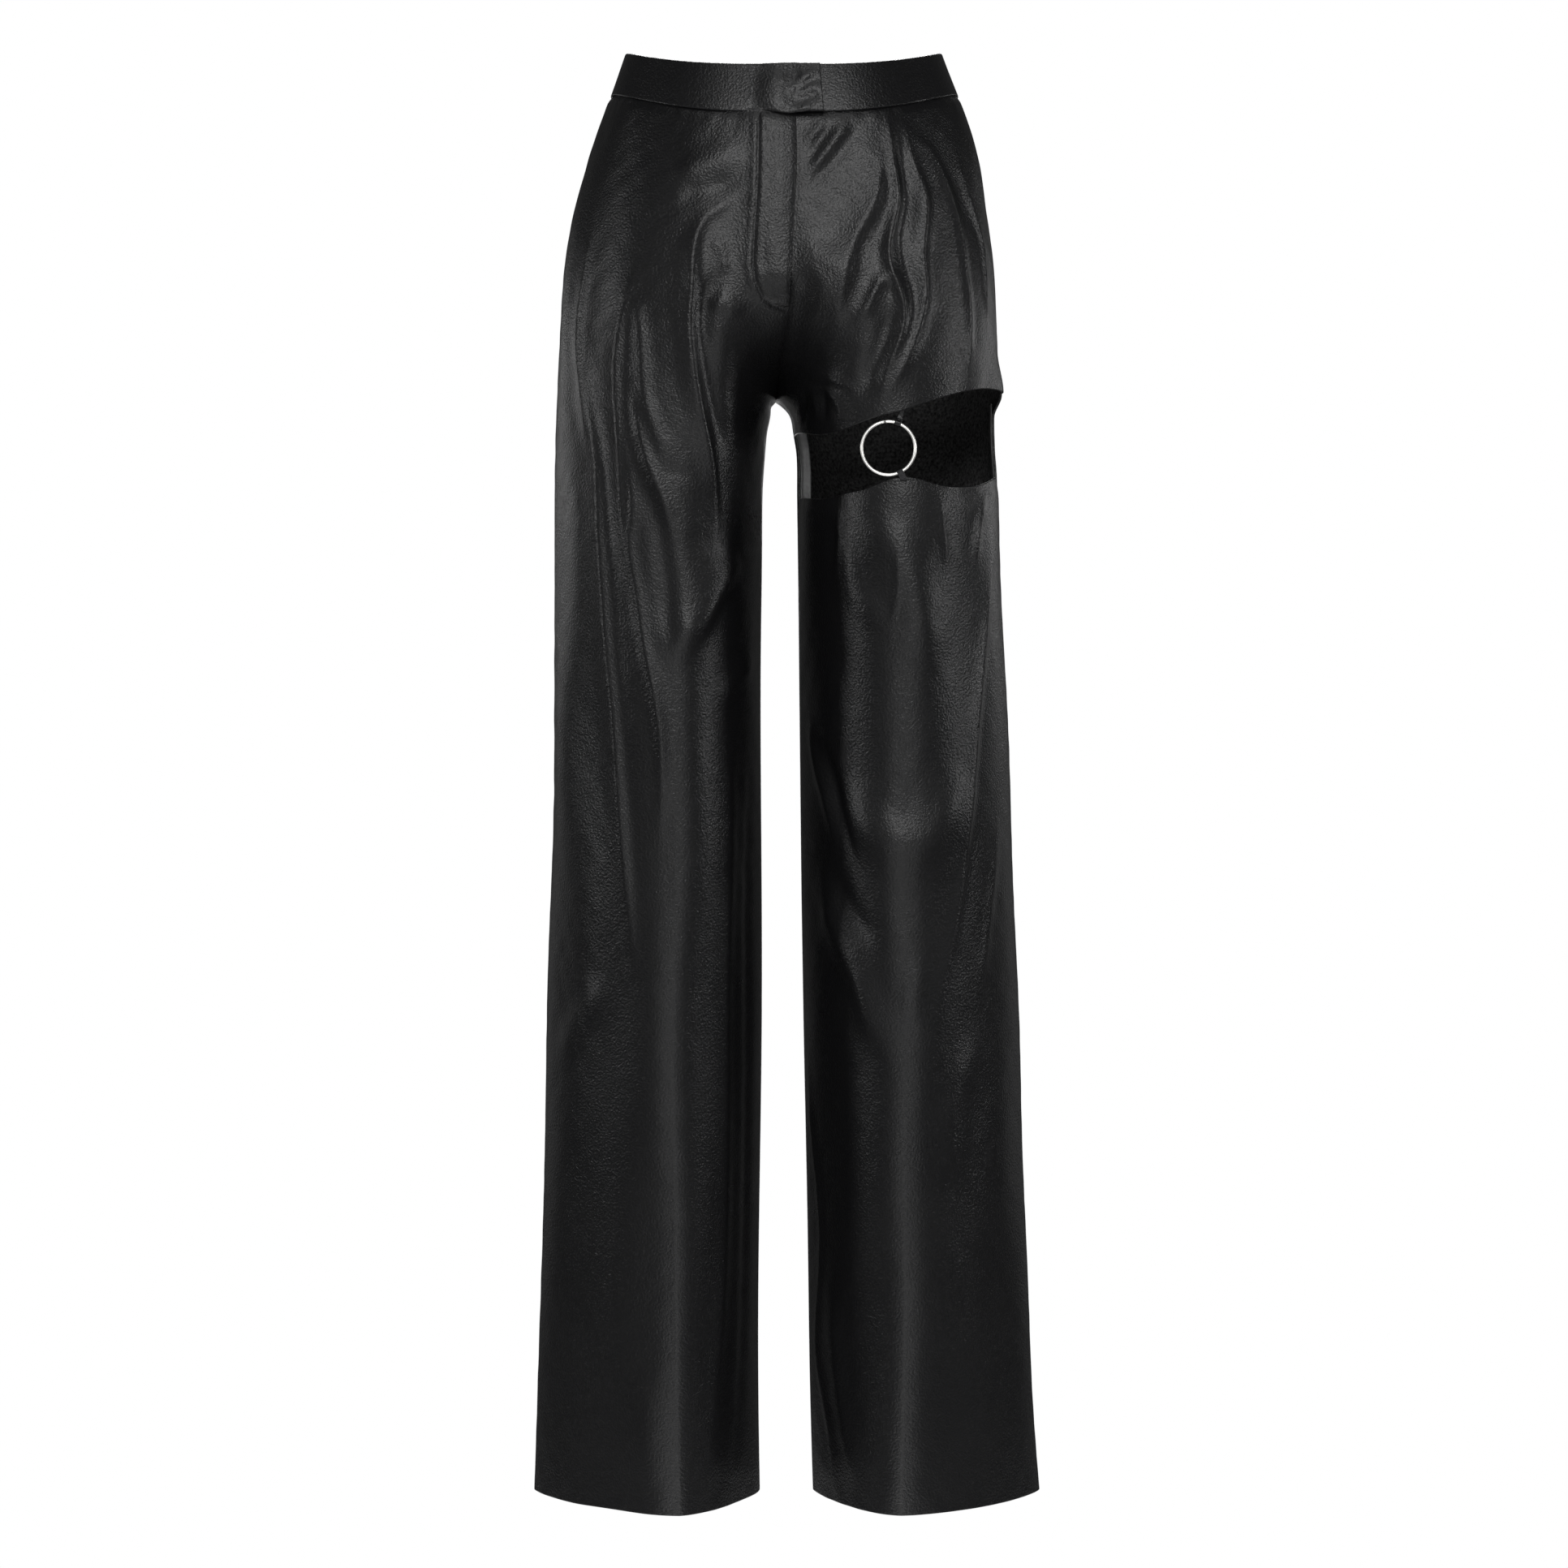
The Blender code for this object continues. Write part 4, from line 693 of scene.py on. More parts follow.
def graded(start, end, step, focus):
    """Places from start to end, step apart, or closer near each (place, reach, least step) of focus."""
    s = np.linspace(start, end, GRADING_POINTS)
    gap = np.full_like(s, step)
    for place, reach, least in focus:
        gap = np.minimum(gap, least + EDGE_GROWTH * np.maximum(np.abs(s - place) - reach, 0.0))
    count = np.concatenate(((0.0,), np.cumsum(2.0 * abs(s[1] - s[0]) / (gap[1:] + gap[:-1]))))
    return np.interp(np.linspace(0.0, count[-1], math.ceil(count[-1]) + 1), count, s)


def close_at(*places, least=EDGE_STEP):
    """graded()'s focus on edges."""
    return [(place, 0.0, least) for place in places]


def span(start, end, least):
    """graded()'s focus from one place to another."""
    return (start + end) / 2, (start - end) / 2, least


def row_places(top, foot, focus):
    """Heights of a panel's rows. They run closer together above FINE_TO."""
    return graded(top, foot, ROW_STEP, [span(FINE_FROM, FINE_TO, FINE_ROW), *close_at(top, foot), *focus])


def strip_rows(top, foot):
    """Heights of a narrow strip's rows."""
    return graded(top, foot, ROW_STEP, close_at(top, foot))


def column_places(side, half, step):
    """The u of a panel's columns, close together beside its seams and over the fly's stitching."""
    whole = LEG_ROUND[side, half]
    focus = close_at(0.0, whole)
    if (side, half) == (RIGHT, FRONT):
        from_rise, reach, least = STITCHED_COLUMNS
        focus.append((whole - from_rise, reach, least))
    return graded(0.0, whole, step, focus) / whole


def cut_height(u, edge):
    """Height of the cut-out's upper or lower edge at each column of the left front."""
    z = np.full_like(u, CUT_OUT[0].upper)
    for _ in range(CUT_PASSES):
        x, _, length = arcs(LEFT, FRONT, z)
        z = CUT[edge](along(x, length, round_to(LEFT, FRONT, u, length)))
    return z


def surface_x(side, half, u):
    """The x of the panel's points at the waist seam."""
    x, _, length = arcs(side, half, np.full_like(u, BAND_SEAM))
    return along(x, length, round_to(side, half, u, length))


def dipped(side, half, u, z):
    """Rows at heights z across columns u, bent near the top to follow the waist seam."""
    seam = seam_height(side, half, u) - BAND_SEAM + WAIST_LAP
    if (side, half) == (RIGHT, FRONT):
        seam = seam - sag(surface_x(side, half, u))
    fade = smooth_step((z - DIP_FADE) / (BAND_SEAM - DIP_FADE))
    return z[:, None] + fade[:, None] * seam[None, :]


def whole_rows(side, half, u):
    """Rows of a panel that runs from the waist seam to the hem."""
    focus = [NEAR_CROTCH]
    if (side, half) == (RIGHT, FRONT):
        focus.append(span(FLY_BEND, FLY_END, CROTCH_STEP))
    return dipped(side, half, u, row_places(BAND_SEAM, HEM, focus))


def bent(z, edge, start):
    """Rows that are level at the height start, and bend from there to follow a cut edge."""
    return start + (z[:, None] - start) * ((edge - start) / (edge[-1] - start))[None, :]


def upper_rows(u):
    """Rows of the left front above the cut-out: below CUT_SPREAD_TOP they bend to its upper edge."""
    edge = cut_height(u, "upper")
    z = row_places(BAND_SEAM, edge[-1], [NEAR_CROTCH])
    return np.where(z[:, None] > CUT_SPREAD_TOP, dipped(LEFT, FRONT, u, z), bent(z, edge, CUT_SPREAD_TOP))


def lower_rows(u):
    """Rows of the left front below the cut-out: above CUT_SPREAD_BOTTOM they bend to its lower edge."""
    edge = cut_height(u, "lower")
    z = row_places(edge[-1], HEM, [])
    return np.where(z[:, None] < CUT_SPREAD_BOTTOM, z[:, None], bent(z, edge, CUT_SPREAD_BOTTOM))


def put(name, data):
    """An object of this data, in the scene."""
    made = bpy.data.objects.new(name, data)
    bpy.context.scene.collection.objects.link(made)
    return made


def mesh_piece(name, points, quads, materials, slots=None):
    """A smooth-shaded mesh object. slots gives each face's material."""
    mesh = bpy.data.meshes.new(name)
    mesh.from_pydata(points, [], quads)
    for material in materials:
        mesh.materials.append(material)
    if slots is not None:
        mesh.polygons.foreach_set("material_index", np.asarray(slots, np.int32))
    mesh.shade_smooth()
    return put(name, mesh)


def shell(name, outer, inner, mirrored, materials, lined_from=0.0):
    """A closed wall between two grids of points, rows by columns. Its inner face takes the second material,
    but the first one below the height lined_from, where the hem is turned up."""
    if mirrored:
        outer, inner = outer[:, ::-1], inner[:, ::-1]
    down, across = outer.shape[:2]
    count = down * across
    index = np.arange(count).reshape(down, across)
    a, b, c, d = index[:-1, :-1], index[1:, :-1], index[1:, 1:], index[:-1, 1:]
    front = np.stack((a, b, c, d), axis=-1).reshape(-1, 4)
    back = np.stack((a, d, c, b), axis=-1).reshape(-1, 4) + count
    loop = np.concatenate((index[0], index[1:, -1], index[-1, -2::-1], index[-2::-1, 0]))
    rim = np.stack((loop[:-1], loop[1:], loop[1:] + count, loop[:-1] + count), axis=-1)
    height = outer[:-1, :-1, 2].reshape(-1)
    slots = np.concatenate((np.zeros(len(front)), height > lined_from, np.zeros(len(rim))))
    points = np.concatenate((outer.reshape(-1, 3), inner.reshape(-1, 3)))
    return mesh_piece(name, points.tolist(), np.concatenate((front, back, rim)).tolist(), materials, slots)


def dress(piece, node, body=TROUSERS):
    """Makes a piece ride on a body, in its node's place if it has one."""
    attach(piece, body)
    if node:
        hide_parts(node)
    return piece


def panel(node, side, half, heights, u, edges):
    """One leather panel. edges says what its top and foot are: sewn, cut or a hem."""
    grid_u = np.broadcast_to(u, heights.shape)
    at_x, at_y, out_x, out_y, s, total = section(side, half, grid_u, heights)
    from_inner = total - s
    below = seam_height(side, half, u)[None, :] - heights
    from_top, from_foot = heights[:1] - heights, heights - heights[-1:]
    wall = np.full_like(heights, WALL)

    lift = relief(side, half, s, total, heights, below)
    free = smooth_step(from_inner / FOLD_FADE) * smooth_step((below + WAIST_LAP) / SETTLED)
    lift = lift + free * (uneven(side, half, s, heights) + puckers(side, half, s, below))
    if side == LEFT:
        lift = lift + flare(s, heights)
    if (side, half) == (RIGHT, FRONT):
        fly = flap(at_x, heights)
        lift = lift + fly - stitch_dent(at_x, heights)
        wall = wall + FLY_FACING * fly / FLY_LIFT

    # Where the rise runs in between the legs, the two legs' outer faces meet flat against each other. Further
    # up the cloth beside it is moved straight in or out, so that the two sides stay together.
    opened = smooth_step((np.abs(out_y[:, -1:]) - MEET_TO) / MEET_FADE)
    open_rise = np.where(heights >= CROTCH, opened, 1.0)
    meets = 1.0 - (1.0 - open_rise) * (from_inner < total / 2)
    straight = 1.0 - open_rise * smooth_step(1.0 - from_inner / RISE_REACH)
    out_x = np.where(heights >= CROTCH, out_x * straight, out_x)

    lift = lift - on_seam(s) - on_seam(from_inner) * meets
    if edges[0] == "sewn":
        lift = lift - WAIST_SINK * hump(from_top - WAIST_LAP, WAIST_SINK_WIDTH)
    else:
        lift = lift - CUT_LEAN * hump(from_top, CUT_LEAN_REACH)
    lined_from = HEM
    if edges[1] == "hem":
        lined_from = HEM + HEM_DEPTH
        wall = wall + HEM_WALL * smooth_step((lined_from + HEM_STEP / 2 - heights) / HEM_STEP)

    nearest = np.minimum(np.minimum(s, from_inner), np.minimum(from_top, from_foot))
    outer, inner = faces((at_x, at_y), (out_x, out_y), lift, wall, rolled(nearest, WALL) * meets, heights)
    piece = shell(node + "_leather", outer, inner, side * half < 0, (LEATHER, KNIT), lined_from)
    dress(piece, node)


def left_front_place(x):
    """The u at which the left front meets x, at the waist seam."""
    u = np.linspace(1.0, 0.0, ARC_POINTS)
    return float(np.interp(x, surface_x(LEFT, FRONT, u), u))


def tab_lift(x):
    """How far the right half rises to lie over the left half's end."""
    return TAB_LIFT * smooth_step((x - TAB_LIFT_START) / TAB_RAMP)


BAND_ROWS = graded(0.0, 1.0, BAND_ROW, close_at(0.0, 1.0, least=BAND_EDGE_ROW))

# Creases where the closed tab pulls, as (width, height, path), in millimetres
TAB_CREASES = (
    (3.4, 1.2, ((26, -15), (16, -19), (8, -27), (2, -33))),
    (3.4, -0.7, ((27, -20), (17, -24.5), (8, -32))),
    (3.4, 0.8, ((28, -25), (17, -28.5), (8, -35))),
    (3.6, -0.8, ((27, -32), (20, -34), (10, -39))),
    (2.8, 1.0, ((22, -41), (12, -43.5), (2, -45.5))),
    (13.0, 1.6, ((-8, -12), (-10, -30), (-13, -46))),
)


def tab_creases(x, z):
    """How far the creases of the closed tab stand out."""
    height = np.zeros_like(z)
    for width, rise, path in TAB_CREASES:
        far, place, whole, _ = nearness(np.array(path) * MM, x, z)
        height += rise * MM * fold_ends(place, whole) * hump(far, width * MM)
    return height


def band_run(side, half, u, laps=False):
    """Outer and inner rows of the waistband over one panel. They rise and sag where it laps over the left."""
    x = surface_x(side, half, u)
    top, low = seam_height(side, half, u, BAND_TOP), seam_height(side, half, u) + SEAM_GAP / 2
    if laps:
        low = low - sag(x)
    z = top + (low - top) * BAND_ROWS[:, None]
    at_x, at_y, out_x, out_y, _, _ = section(side, half, np.broadcast_to(u, z.shape), z)
    lift = tab_lift(x) + tab_creases(at_x, z) if laps else np.zeros_like(z)
    roll = rolled(np.minimum(top - z, z - low), BAND_WALL)
    return np.stack(faces((at_x, at_y), (out_x, out_y), lift, BAND_WALL, roll, z))


def waistbands():
    """The right half runs on over the middle as a tab. The left half ends under it."""
    creased = [*close_at(0.0, least=BAND_EDGE_COLUMN), (1.0, CREASED_SHARE, CREASED_COLUMN)]
    front = graded(0.0, 1.0, BAND_COLUMN, creased)[1:]
    back = graded(0.0, 1.0, BAND_COLUMN, close_at(0.0, 1.0, least=BAND_EDGE_COLUMN))[:0:-1]
    tab = np.linspace(left_front_place(TAB_START), left_front_place(TAB_END), TAB_COLUMNS)
    right = (
        band_run(RIGHT, BACK, back),
        band_run(RIGHT, FRONT, front, laps=True),
        band_run(LEFT, FRONT, tab, laps=True),
    )
    left = band_run(LEFT, BACK, back), band_run(LEFT, FRONT, front)
    for node, runs, mirrored in (("waistband_right", right, False), ("waistband_left", left, True)):
        outer, inner = np.concatenate(runs, axis=2)
        piece = dress(shell(node + "_leather", outer, inner, mirrored, (LEATHER, LEATHER)), node)


def material(name, colour, roughness, metallic=0.0):
    """A material, its node tree and its Principled shader."""
    made = bpy.data.materials.new(name)
    made.use_nodes = True
    shader = made.node_tree.nodes["Principled BSDF"]
    shader.inputs["Base Color"].default_value = (*colour, 1.0)
    shader.inputs["Roughness"].default_value = roughness
    shader.inputs["Metallic"].default_value = metallic
    return made, made.node_tree, shader


def add(tree, kind, inputs=(), **settings):
    """A node with its settings, and with its inputs set or linked."""
    node = tree.nodes.new(kind)
    for name, value in settings.items():
        setattr(node, name, value)
    for name, value in dict(inputs).items():
        if isinstance(value, bpy.types.NodeSocket):
            tree.links.new(value, node.inputs[name])
        else:
            node.inputs[name].default_value = value
    return node


# Finishes. noise is a scale and a detail, and varies the socket that drives names over the spread's range.
# The colour and roughness are what a viewer that shows no nodes has. A bump is a texture, its scale, its
# detail or randomness, and the bump's strength and distance.
Finish = namedtuple("Finish", "name colour roughness metallic specular noise drives spread bumps")
FINISHES = (
    # fine pebble grain under a soft satin coat, with a little wear in its gloss
    Finish(
        "black_leather", (0.0050, 0.0050, 0.0054), 0.38, 0.0, 0.30, (14.0, 4.0), "Roughness", (0.27, 0.33),
        (("Voronoi", 1150.0, 1.0, 0.35, 0.00012), ("Noise", 600.0, 3.0, 0.80, 0.0006)),
    ),
    # the seam allowances: painted lighter than the black leather as a painted sheen for the light they catch,
    # with tone varying at random
    Finish(
        "sheen_painted_leather", (0.050, 0.050, 0.052), 0.48, 0.0, 0.50, (260.0, 4.0), "Base Color", (0.070, 0.120),
        (("Noise", 260.0, 4.0, 0.4, 0.0004),),
    ),
    # the leather's matte knitted backing
    Finish(
        "knit_backing", (0.045, 0.045, 0.046), 0.95, 0.0, 0.12, (480.0, 2.0), "Base Color", (0.016, 0.115),
        (("Voronoi", 1300.0, 0.6, 0.5, 0.0003),),
    ),
    # polished plating
    Finish("silver", (0.92, 0.91, 0.88), 0.28, 0.85, 0.50, (300.0, 3.0), "Roughness", (0.34, 0.42), ()),
    Finish(
        "black_thread", (0.016, 0.016, 0.018), 0.55, 0.0, 0.50, (2600.0, 3.0), "Roughness", (0.45, 0.65),
        (("Noise", 2600.0, 3.0, 0.5, 0.0002),),
    ),
    Finish(
        "zip_tape", (0.012, 0.012, 0.013), 0.85, 0.0, 0.50, (1500.0, 3.0), "Roughness", (0.75, 0.95),
        (("Noise", 1500.0, 3.0, 0.5, 0.0002),),
    ),
)
NOISE_RANGE = 0.3, 0.7  # most of a noise lies between these


def texture(tree, where, kind, scale, setting):
    """A procedural texture's socket. The setting is a noise's detail, or how random a Voronoi's cells are."""
    asked, gives = ("Detail", "Fac") if kind == "Noise" else ("Randomness", "Distance")
    return add(tree, "ShaderNodeTex" + kind, {"Vector": where, "Scale": scale, asked: setting}).outputs[gives]


def finished(finish):
    """A finish's material."""
    made, tree, shader = material(finish.name, finish.colour, finish.roughness, finish.metallic)
    shader.inputs["Specular IOR Level"].default_value = finish.specular
    where = add(tree, "ShaderNodeTexCoord").outputs["Object"]
    noise = texture(tree, where, "Noise", *finish.noise)
    limits = dict(zip(("From Min", "From Max", "To Min", "To Max"), NOISE_RANGE + finish.spread))
    spread = add(tree, "ShaderNodeMapRange", {"Value": noise, **limits}).outputs["Result"]
    if finish.drives == "Base Color":
        grey = add(tree, "ShaderNodeCombineColor", dict.fromkeys(("Red", "Green", "Blue"), spread))
        spread = grey.outputs["Color"]
    tree.links.new(spread, shader.inputs[finish.drives])
    for kind, scale, setting, strength, distance in finish.bumps:
        shared = (kind, scale, setting) == ("Noise", *finish.noise)
        height = noise if shared else texture(tree, where, kind, scale, setting)
        bump = add(tree, "ShaderNodeBump", {"Height": height, "Strength": strength, "Distance": distance})
        under = shader.inputs["Normal"].links
        if under:
            tree.links.new(under[0].from_socket, bump.inputs["Normal"])
        tree.links.new(bump.outputs["Normal"], shader.inputs["Normal"])
    return made


LEATHER, SHEEN_PAINTED_LEATHER, KNIT, METAL, THREAD, TAPE = (finished(finish) for finish in FINISHES)


def tube_mesh(path, radius, closed=False, sides=8):
    """A round tube along a path, as points and faces. radius is one number, or one for each point of the
    path. Unless the tube is closed, its ends are capped."""
    path = np.asarray(path, float)
    ahead = np.roll(path, -1, axis=0) - np.roll(path, 1, axis=0) if closed else np.gradient(path, axis=0)
    ahead /= np.linalg.norm(ahead, axis=1)[:, None]
    guide = np.array((0.0, 1.0, 0.0)) if abs(ahead[0, 1]) < NEARLY_ALONG else np.array((1.0, 0.0, 0.0))
    turns = np.linspace(0.0, 2 * math.pi, sides, endpoint=False)[:, None]
    rings = []
    for point, forward, wide in zip(path, ahead, np.broadcast_to(radius, len(path))):
        across = np.cross(forward, guide)
        across /= np.linalg.norm(across)
        guide = np.cross(across, forward)
        rings.append(point + wide * (np.cos(turns) * across + np.sin(turns) * guide))
    points = np.concatenate(rings)
    index = np.arange(len(points)).reshape(len(path), sides)
    following = np.roll(index, -1, axis=1)
    quads = np.stack((index[:-1], index[1:], following[1:], following[:-1]), axis=-1).reshape(-1, 4).tolist()
    if closed:
        quads += np.stack((index[-1], index[0], following[0], following[-1]), axis=-1).tolist()
    else:
        quads += [index[0][::-1].tolist(), index[-1].tolist()]
    return points.tolist(), quads


def allowance(node, u_ends, stands):
    """A pressed-open seam allowance inside the left back. Its free edge stands off by this much."""
    u = graded(*u_ends, ALLOWANCE_COLUMN, close_at(*u_ends, least=ALLOWANCE_EDGE))
    z = strip_rows(ALLOWANCE_TOP, ALLOWANCE_BOTTOM)
    heights = np.broadcast_to(z[:, None], (len(z), len(u)))
    at_x, at_y, out_x, out_y, s, total = section(LEFT, BACK, np.broadcast_to(u, heights.shape), heights)
    below = seam_height(LEFT, BACK, u)[None, :] - heights
    lift = relief(LEFT, BACK, s, total, heights, below) + uneven(LEFT, BACK, s, heights)
    lift = lift - WALL - ALLOWANCE_GAP
    from_seam = (s[:, -1:] - s) / (s[:, -1:] - s[:, :1]) if stands else np.zeros_like(s)
    lift = lift - stands * smooth_step((from_seam - BENT_FROM) / (1.0 - BENT_FROM))
    from_sides = np.minimum(s - s[:, :1].min(), s[:, -1:] - s)
    nearest = np.minimum(from_sides, np.minimum(z[0] - heights, heights - z[-1]))
    roll = rolled(np.abs(nearest), ALLOWANCE)
    outer, inner = faces((at_x, at_y), (out_x, out_y), lift, ALLOWANCE, roll, heights)
    # the allowance's leather is painted lighter than the rest, a painted sheen
    piece = dress(shell(node + "_leather", outer, inner, False, (SHEEN_PAINTED_LEATHER, SHEEN_PAINTED_LEATHER)), node)


def allowances():
    """The seam allowances that show through the cut-out."""
    whole = arcs(LEFT, BACK, np.array([(ALLOWANCE_TOP + ALLOWANCE_BOTTOM) / 2]))[2][0, -1]
    allowance("inseam_allowance", sorted(1.0 - distance / whole for distance in INSEAM_ALLOWANCE), FREE_EDGE)
    allowance("outseam_allowance", [distance / whole for distance in OUTSEAM_ALLOWANCE], 0.0)


def repeated(name, points, faces_of_one, places, finish):
    """One mesh of copies of a small form, one at each place matrix."""
    every, quads = [], []
    for place in places:
        quads += [[corner + len(every) for corner in face] for face in faces_of_one]
        every += [tuple(place @ Vector(point)) for point in points]
    return mesh_piece(name, every, quads, (finish,))


def bead(length, radius):
    """Points and faces of a thread stitch along X: round, and narrower towards its ends."""
    turns = math.pi * (np.arange(BEAD_RINGS) + BEAD_END) / (BEAD_RINGS - 1 + 2 * BEAD_END)
    path = [(-length / 2 * math.cos(t), 0.0, 0.0) for t in turns]
    return tube_mesh(path, radius * np.sin(turns) ** BEAD_FULLNESS)


def frame_at(place, ahead, out):
    """A matrix at a place with X ahead and Z out from the surface."""
    ahead = Vector(ahead).normalized()
    out = (Vector(out) - Vector(out).dot(ahead) * ahead).normalized()
    return Matrix.Translation(place) @ Matrix((ahead, out.cross(ahead), out)).transposed().to_4x4()


def fly_stitches():
    """The topstitching that holds the fly's facing, sunk a little in the leather of the right front."""
    path = np.array(FLY_STITCHING) * MM
    gone = run_along(path)
    smooth_x, smooth_z = spline(gone, path[:, 0]), spline(gone, path[:, 1])
    cloth = bpy.data.objects["right_front_leather"]
    bpy.context.view_layer.update()
    places = []
    for middle in np.arange(STITCH_PITCH, gone[-1] - STITCH_LENGTH / 2, STITCH_PITCH):
        ends = []
        for along_path in (middle - STITCH_LENGTH / 2, middle, middle + STITCH_LENGTH / 2):
            start = Vector((float(smooth_x(along_path)), WELL_IN_FRONT, float(smooth_z(along_path))))
            _, found, normal, _ = cloth.ray_cast(start, Vector((0.0, 1.0, 0.0)))
            ends.append((found, normal))
        (first, _), (centre, out), (last, _) = ends
        places.append(frame_at(centre + out * STITCH_RADIUS * STITCH_STANDS, last - first, out))
    dress(repeated("fly_topstitching", *bead(STITCH_LENGTH, STITCH_RADIUS), places, THREAD), None)


def front_y(side, x, z):
    """The y of a front panel's outer face at x and z."""
    across, y, _ = arcs(side, FRONT, np.array([z]))
    order = np.argsort(across[0])
    return float(np.interp(x, across[0][order], y[0][order]))


def ring_y():
    """The ring hangs just behind the panels' inner faces, so that its keepers run straight in under them."""
    return front_y(LEFT, RING_X, float(CUT["lower"](RING_X))) + WALL + CLEAR + KEEPER_STRAP


def ring():
    """A bent wire whose two ends meet at a fine split."""
    turns = np.linspace(RING_SPLIT / 2, 2 * math.pi - RING_SPLIT / 2, RING_POINTS) + RING_SPLIT_ANGLE
    path = [(RING_X + RING_RADIUS * math.sin(t), ring_y(), RING_Z + RING_RADIUS * math.cos(t)) for t in turns]
    piece = mesh_piece("thigh_ring_silver", *tube_mesh(path, WIRE_RADIUS, sides=WIRE_SIDES), (METAL,))
    dress(piece, "thigh_ring", RING)


def wire_frame(angle):
    """A place on the ring's wire, and the ways away from its middle and into the garment."""
    away = Vector((math.sin(angle), 0.0, math.cos(angle)))
    return Vector((RING_X, ring_y(), RING_Z)) + RING_RADIUS * away, away, Vector((0.0, 1.0, 0.0))


def upper_keeper():
    """A leather strap looped round the wire. Its two ends narrow and run in together under the upper edge."""
    wire, away, inwards = wire_frame(UPPER_KEEPER_ANGLE)
    sideways = away.cross(inwards)
    end_z = float(CUT["upper"](wire.x)) + KEEPER_UNDER
    end_r = (end_z - wire.z) / away.z
    end_d = front_y(LEFT, wire.x + end_r * away.x, end_z) + WALL + CLEAR + KEEPER_STRAP - wire.y
    open_angle = math.asin(KEEPER_STRAP / (KEEPER_BORE + KEEPER_STRAP))
    turns = np.linspace(open_angle, 2 * math.pi - open_angle, KEEPER_ROUND)
    across = np.linspace(-0.5, 0.5, KEEPER_ACROSS)
    grids = []
    layers = (KEEPER_BORE + KEEPER_STRAP, KEEPER_STRAP), (KEEPER_BORE, KEEPER_TAIL_GAP * KEEPER_STRAP)
    for radius, tail in layers:
        profile = [(radius * math.cos(t), radius * math.sin(t)) for t in turns]
        for share in KEEPER_TAIL:
            r = profile[0][0] * (1.0 - share) + end_r * share
            profile.insert(0, (r, end_d * share + tail))
            profile.append((r, end_d * share - tail))
        rows = []
        for r, d in profile:
            width = KEEPER_WIDTH * (KEEPER_WIDE - KEEPER_NARROWS * smooth_step(r / end_r))
            rows.append([wire + away * r + inwards * d + sideways * (width * a) for a in across])
        grids.append(np.array(rows))
    piece = shell("ring_keeper_upper_leather", grids[0], grids[1], True, (LEATHER, LEATHER))
    dress(piece, "ring_keeper_upper")


def lower_keeper():
    """Thread wound round the wire and through the leather below the lower edge, in closed turns."""
    wire, away, inwards = wire_frame(LOWER_KEEPER_ANGLE)
    sideways = away.cross(inwards)
    middle = (WINDING_TURNS - 1) / 2
    around = WIRE_RADIUS + WINDING_OFF * WINDING_RADIUS
    half_turn = np.linspace(0.5 * math.pi, 1.5 * math.pi, WINDING_ROUND)
    points, quads = [], []
    for turn in range(WINDING_TURNS):
        start = wire + sideways * ((turn - middle) * WINDING_PITCH)
        bite = WINDING_BITE * (1.0 - WINDING_SHORTER * abs(turn - middle) / middle)
        bite_z = float(CUT["lower"](start.x)) - bite
        far_r = (bite_z - start.z) / away.z
        face_d = front_y(LEFT, start.x + far_r * away.x, bite_z) - start.y
        loop = [(around * math.cos(t), around * math.sin(t)) for t in half_turn]
        for reach, depth, out, walls, radii in WINDING_PATH:
            r = far_r * reach + out * WINDING_RADIUS
            loop.append((r, face_d * depth + walls * WALL + radii * WINDING_RADIUS))
        path = [start + away * r + inwards * d for r, d in loop]
        more_points, more_quads = tube_mesh(path, WINDING_RADIUS, closed=True)
        quads += [[corner + len(points) for corner in quad] for quad in more_quads]
        points += more_points
    dress(mesh_piece("ring_keeper_lower_thread", points, quads, (THREAD,)), "ring_keeper_lower")


def zip_middle(z):
    """The x of the zip's middle, under the left front's edge."""
    return float(RISE["front"](z)) - FLY_UNDERLAP


def zip_y(x, z):
    """The y of the tape's front face."""
    return front_y(LEFT, max(x, zip_middle(z) + ZIP_INSET), z) + WALL + CLEAR


def zip_fastener():
    """The tape behind the fly, with its closed coil, and the slider at its top."""
    half_tape, half_chain = ZIP_TAPE_WIDTH / 2, ZIP_CHAIN_WIDTH / 2
    right = -half_tape, -half_tape * ZIP_COLUMN, -half_chain
    across = np.array((*right, 0.0, *(-x for x in right[::-1])))
    heights = strip_rows(ZIP_TOP, ZIP_BOTTOM)
    outer = np.array([[(x, zip_y(x, z), z) for x in zip_middle(z) + across] for z in heights])
    inner = outer + np.array((0.0, ZIP_TAPE, 0.0))
    piece = dress(shell("fly_zip_tape", outer, inner, False, (TAPE, TAPE)), "fly_zip")
    places = []
    for i, z in enumerate(np.arange(COIL_TOP, COIL_BOTTOM, -TOOTH_PITCH / 2)):
        middle = zip_middle(z)
        shift = TOOTH_SHIFT if i % 2 else -TOOTH_SHIFT
        place = middle + shift, zip_y(middle, z) + ZIP_TAPE + TOOTH_STANDS, z
        places.append(frame_at(place, (1, 0, 0), (0, 1, 0)))
    dress(repeated("fly_zip_coil", *bead(TOOTH_LENGTH, TOOTH_RADIUS), places, THREAD), None)
    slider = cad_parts["zip_slider"]
    slider.data.materials.clear()
    slider.data.materials.append(METAL)


CAMERA_PLACE, LENS, SENSOR = (0.0, -2.6, -0.54), 78.13, 36.0
# The world and the floor are bright to the camera alone. They light the rest by AMBIENT, and not at all.
AMBIENT, WORLD_SEEN, FLOOR_SEEN = 0.045, 1.0, 0.80
FLOOR, FLOOR_RADIUS, FLOOR_SIDES = -1.60, 2.0, 96
FLOOR_GREY, FLOOR_ROUGH = (0.5, 0.5, 0.5), 0.9
WHITE = (1.0, 1.0, 1.0, 1.0)
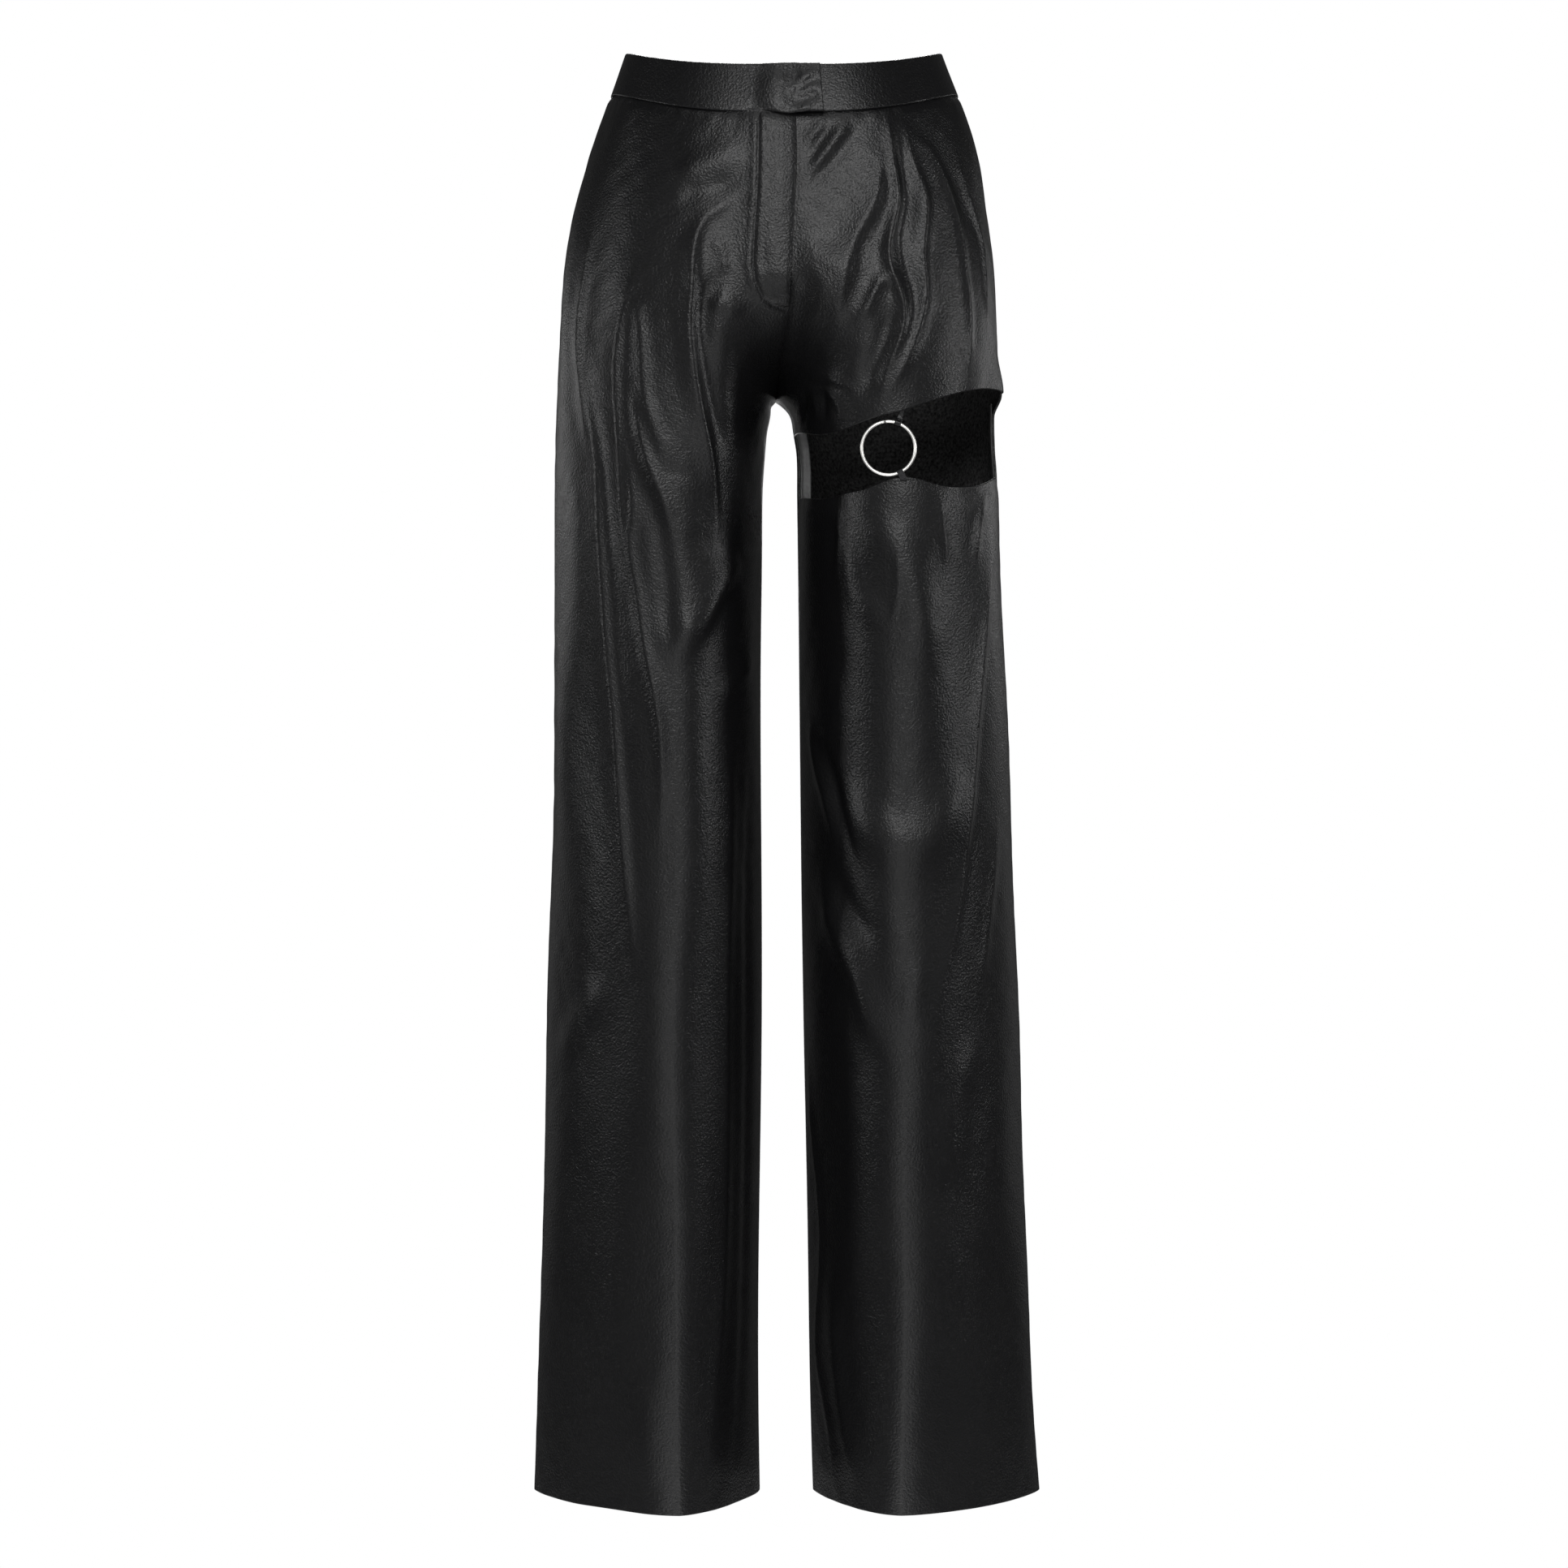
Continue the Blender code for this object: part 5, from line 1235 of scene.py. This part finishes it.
# Softboxes: where each is, where it aims, its size and its power
SOFTBOXES = (
    ("key", (0.20, -3.5, 1.25), (0, 0, -0.2), (1.4, 1.20), 62),
    ("key_left", (-3.2, -0.60, 0.15), (0, 0, -0.3), (0.35, 0.9), 20),
    ("key_right", (3.2, -0.60, 0.15), (0, 0, -0.3), (0.35, 0.9), 20),
    ("side_left", (-3.2, -1.0, 0.95), (0, 0, -0.1), (4.0, 1.2), 5),
    ("side_right", (3.2, -1.0, 0.95), (0, 0, -0.1), (4.0, 1.2), 4),
    ("fill", (0.0, -4.5, -0.1), (0, 0, -0.5), (10.0, 3.8), 43),
    ("low", (0.0, -2.9, -1.45), (0, 0, -0.3), (2.4, 0.5), 13),
    ("under", (0.0, -0.60, -1.50), (0, 0, -0.25), (0.9, 0.35), 3),
    ("rim_left", (-1.9, 2.0, 0.05), (0, 0, -0.3), (0.4, 0.5), 1.6),
    ("rim_right", (1.9, 2.0, 0.05), (0, 0, -0.3), (0.4, 0.5), 1.9),
    ("rear", (0.0, 2.4, 2.2), (0, 0, -0.3), (2.0, 0.8), 80),
    ("rear_strip", (0.0, 4.2, -0.4), (0, 0, -0.5), (0.9, 2.6), 22),
    ("rear_left", (-3.0, 3.0, -0.3), (0, 0, -0.4), (1.6, 2.2), 3),
    ("rear_right", (3.0, 3.0, -0.3), (0, 0, -0.4), (1.6, 2.2), 3),
    ("top", (0.0, -1.2, 1.8), (0, 0, -0.2), (1.4, 0.8), 8),
)


def camera():
    """Straight on from the front, as the photograph was taken."""
    made = bpy.data.cameras.new("camera")
    made.lens, made.sensor_width = LENS, SENSOR
    holder = put("camera", made)
    holder.location = CAMERA_PLACE
    holder.rotation_euler = (math.pi / 2, 0.0, 0.0)
    bpy.context.scene.camera = holder


def softbox(name, place, aim, size, power):
    """A rectangular lamp that the camera doesn't see."""
    lamp = bpy.data.lights.new(name, "AREA")
    lamp.shape = "RECTANGLE"
    lamp.size, lamp.size_y = size
    lamp.energy = power
    holder = put(name, lamp)
    holder.location = place
    holder.rotation_euler = (Vector(aim) - Vector(place)).to_track_quat("-Z", "Y").to_euler()
    holder.visible_camera = False


def by_camera(tree, unseen, seen, strength):
    """Sets a strength to one value where the camera looks straight at it, and to another elsewhere."""
    ray = add(tree, "ShaderNodeLightPath").outputs["Is Camera Ray"]
    chosen = add(tree, "ShaderNodeMapRange", {"Value": ray, "To Min": unseen, "To Max": seen})
    tree.links.new(chosen.outputs["Result"], strength)


def studio():
    """A pale floor under a white world, and the lamps."""
    made, tree, shader = material("pale_floor", FLOOR_GREY, FLOOR_ROUGH)
    shader.inputs["Specular IOR Level"].default_value = 0.0
    shader.inputs["Emission Color"].default_value = WHITE
    by_camera(tree, 0.0, FLOOR_SEEN, shader.inputs["Emission Strength"])
    turns = np.linspace(0.0, 2 * math.pi, FLOOR_SIDES, endpoint=False)
    rim = [(FLOOR_RADIUS * math.cos(t), FLOOR_RADIUS * math.sin(t), FLOOR) for t in turns]
    mesh_piece("floor", rim, [tuple(range(FLOOR_SIDES))], (made,))
    world = bpy.data.worlds.new("studio")
    world.use_nodes = True
    background = world.node_tree.nodes["Background"]
    background.inputs["Color"].default_value = WHITE
    by_camera(world.node_tree, AMBIENT, WORLD_SEEN, background.inputs["Strength"])
    bpy.context.scene.world = world
    bpy.context.scene.view_settings.view_transform = "Standard"
    for box in SOFTBOXES:
        softbox(*box)


def build():
    waistbands()
    for side, half in ((RIGHT, FRONT), (RIGHT, BACK), (LEFT, BACK)):
        u = column_places(side, half, FINE_COLUMN if half == FRONT else COLUMN_STEP)
        node = SIDE_NAME[side] + "_" + HALF_NAME[half]
        panel(node, side, half, whole_rows(side, half, u), u, ("sewn", "hem"))
    u = column_places(LEFT, FRONT, LEFT_FRONT_COLUMN)
    panel("left_front_upper", LEFT, FRONT, upper_rows(u), u, ("sewn", "cut"))
    panel("left_front_lower", LEFT, FRONT, lower_rows(u), u, ("cut", "hem"))
    allowances()
    zip_fastener()
    fly_stitches()
    ring()
    upper_keeper()
    lower_keeper()
    camera()
    studio()


build()
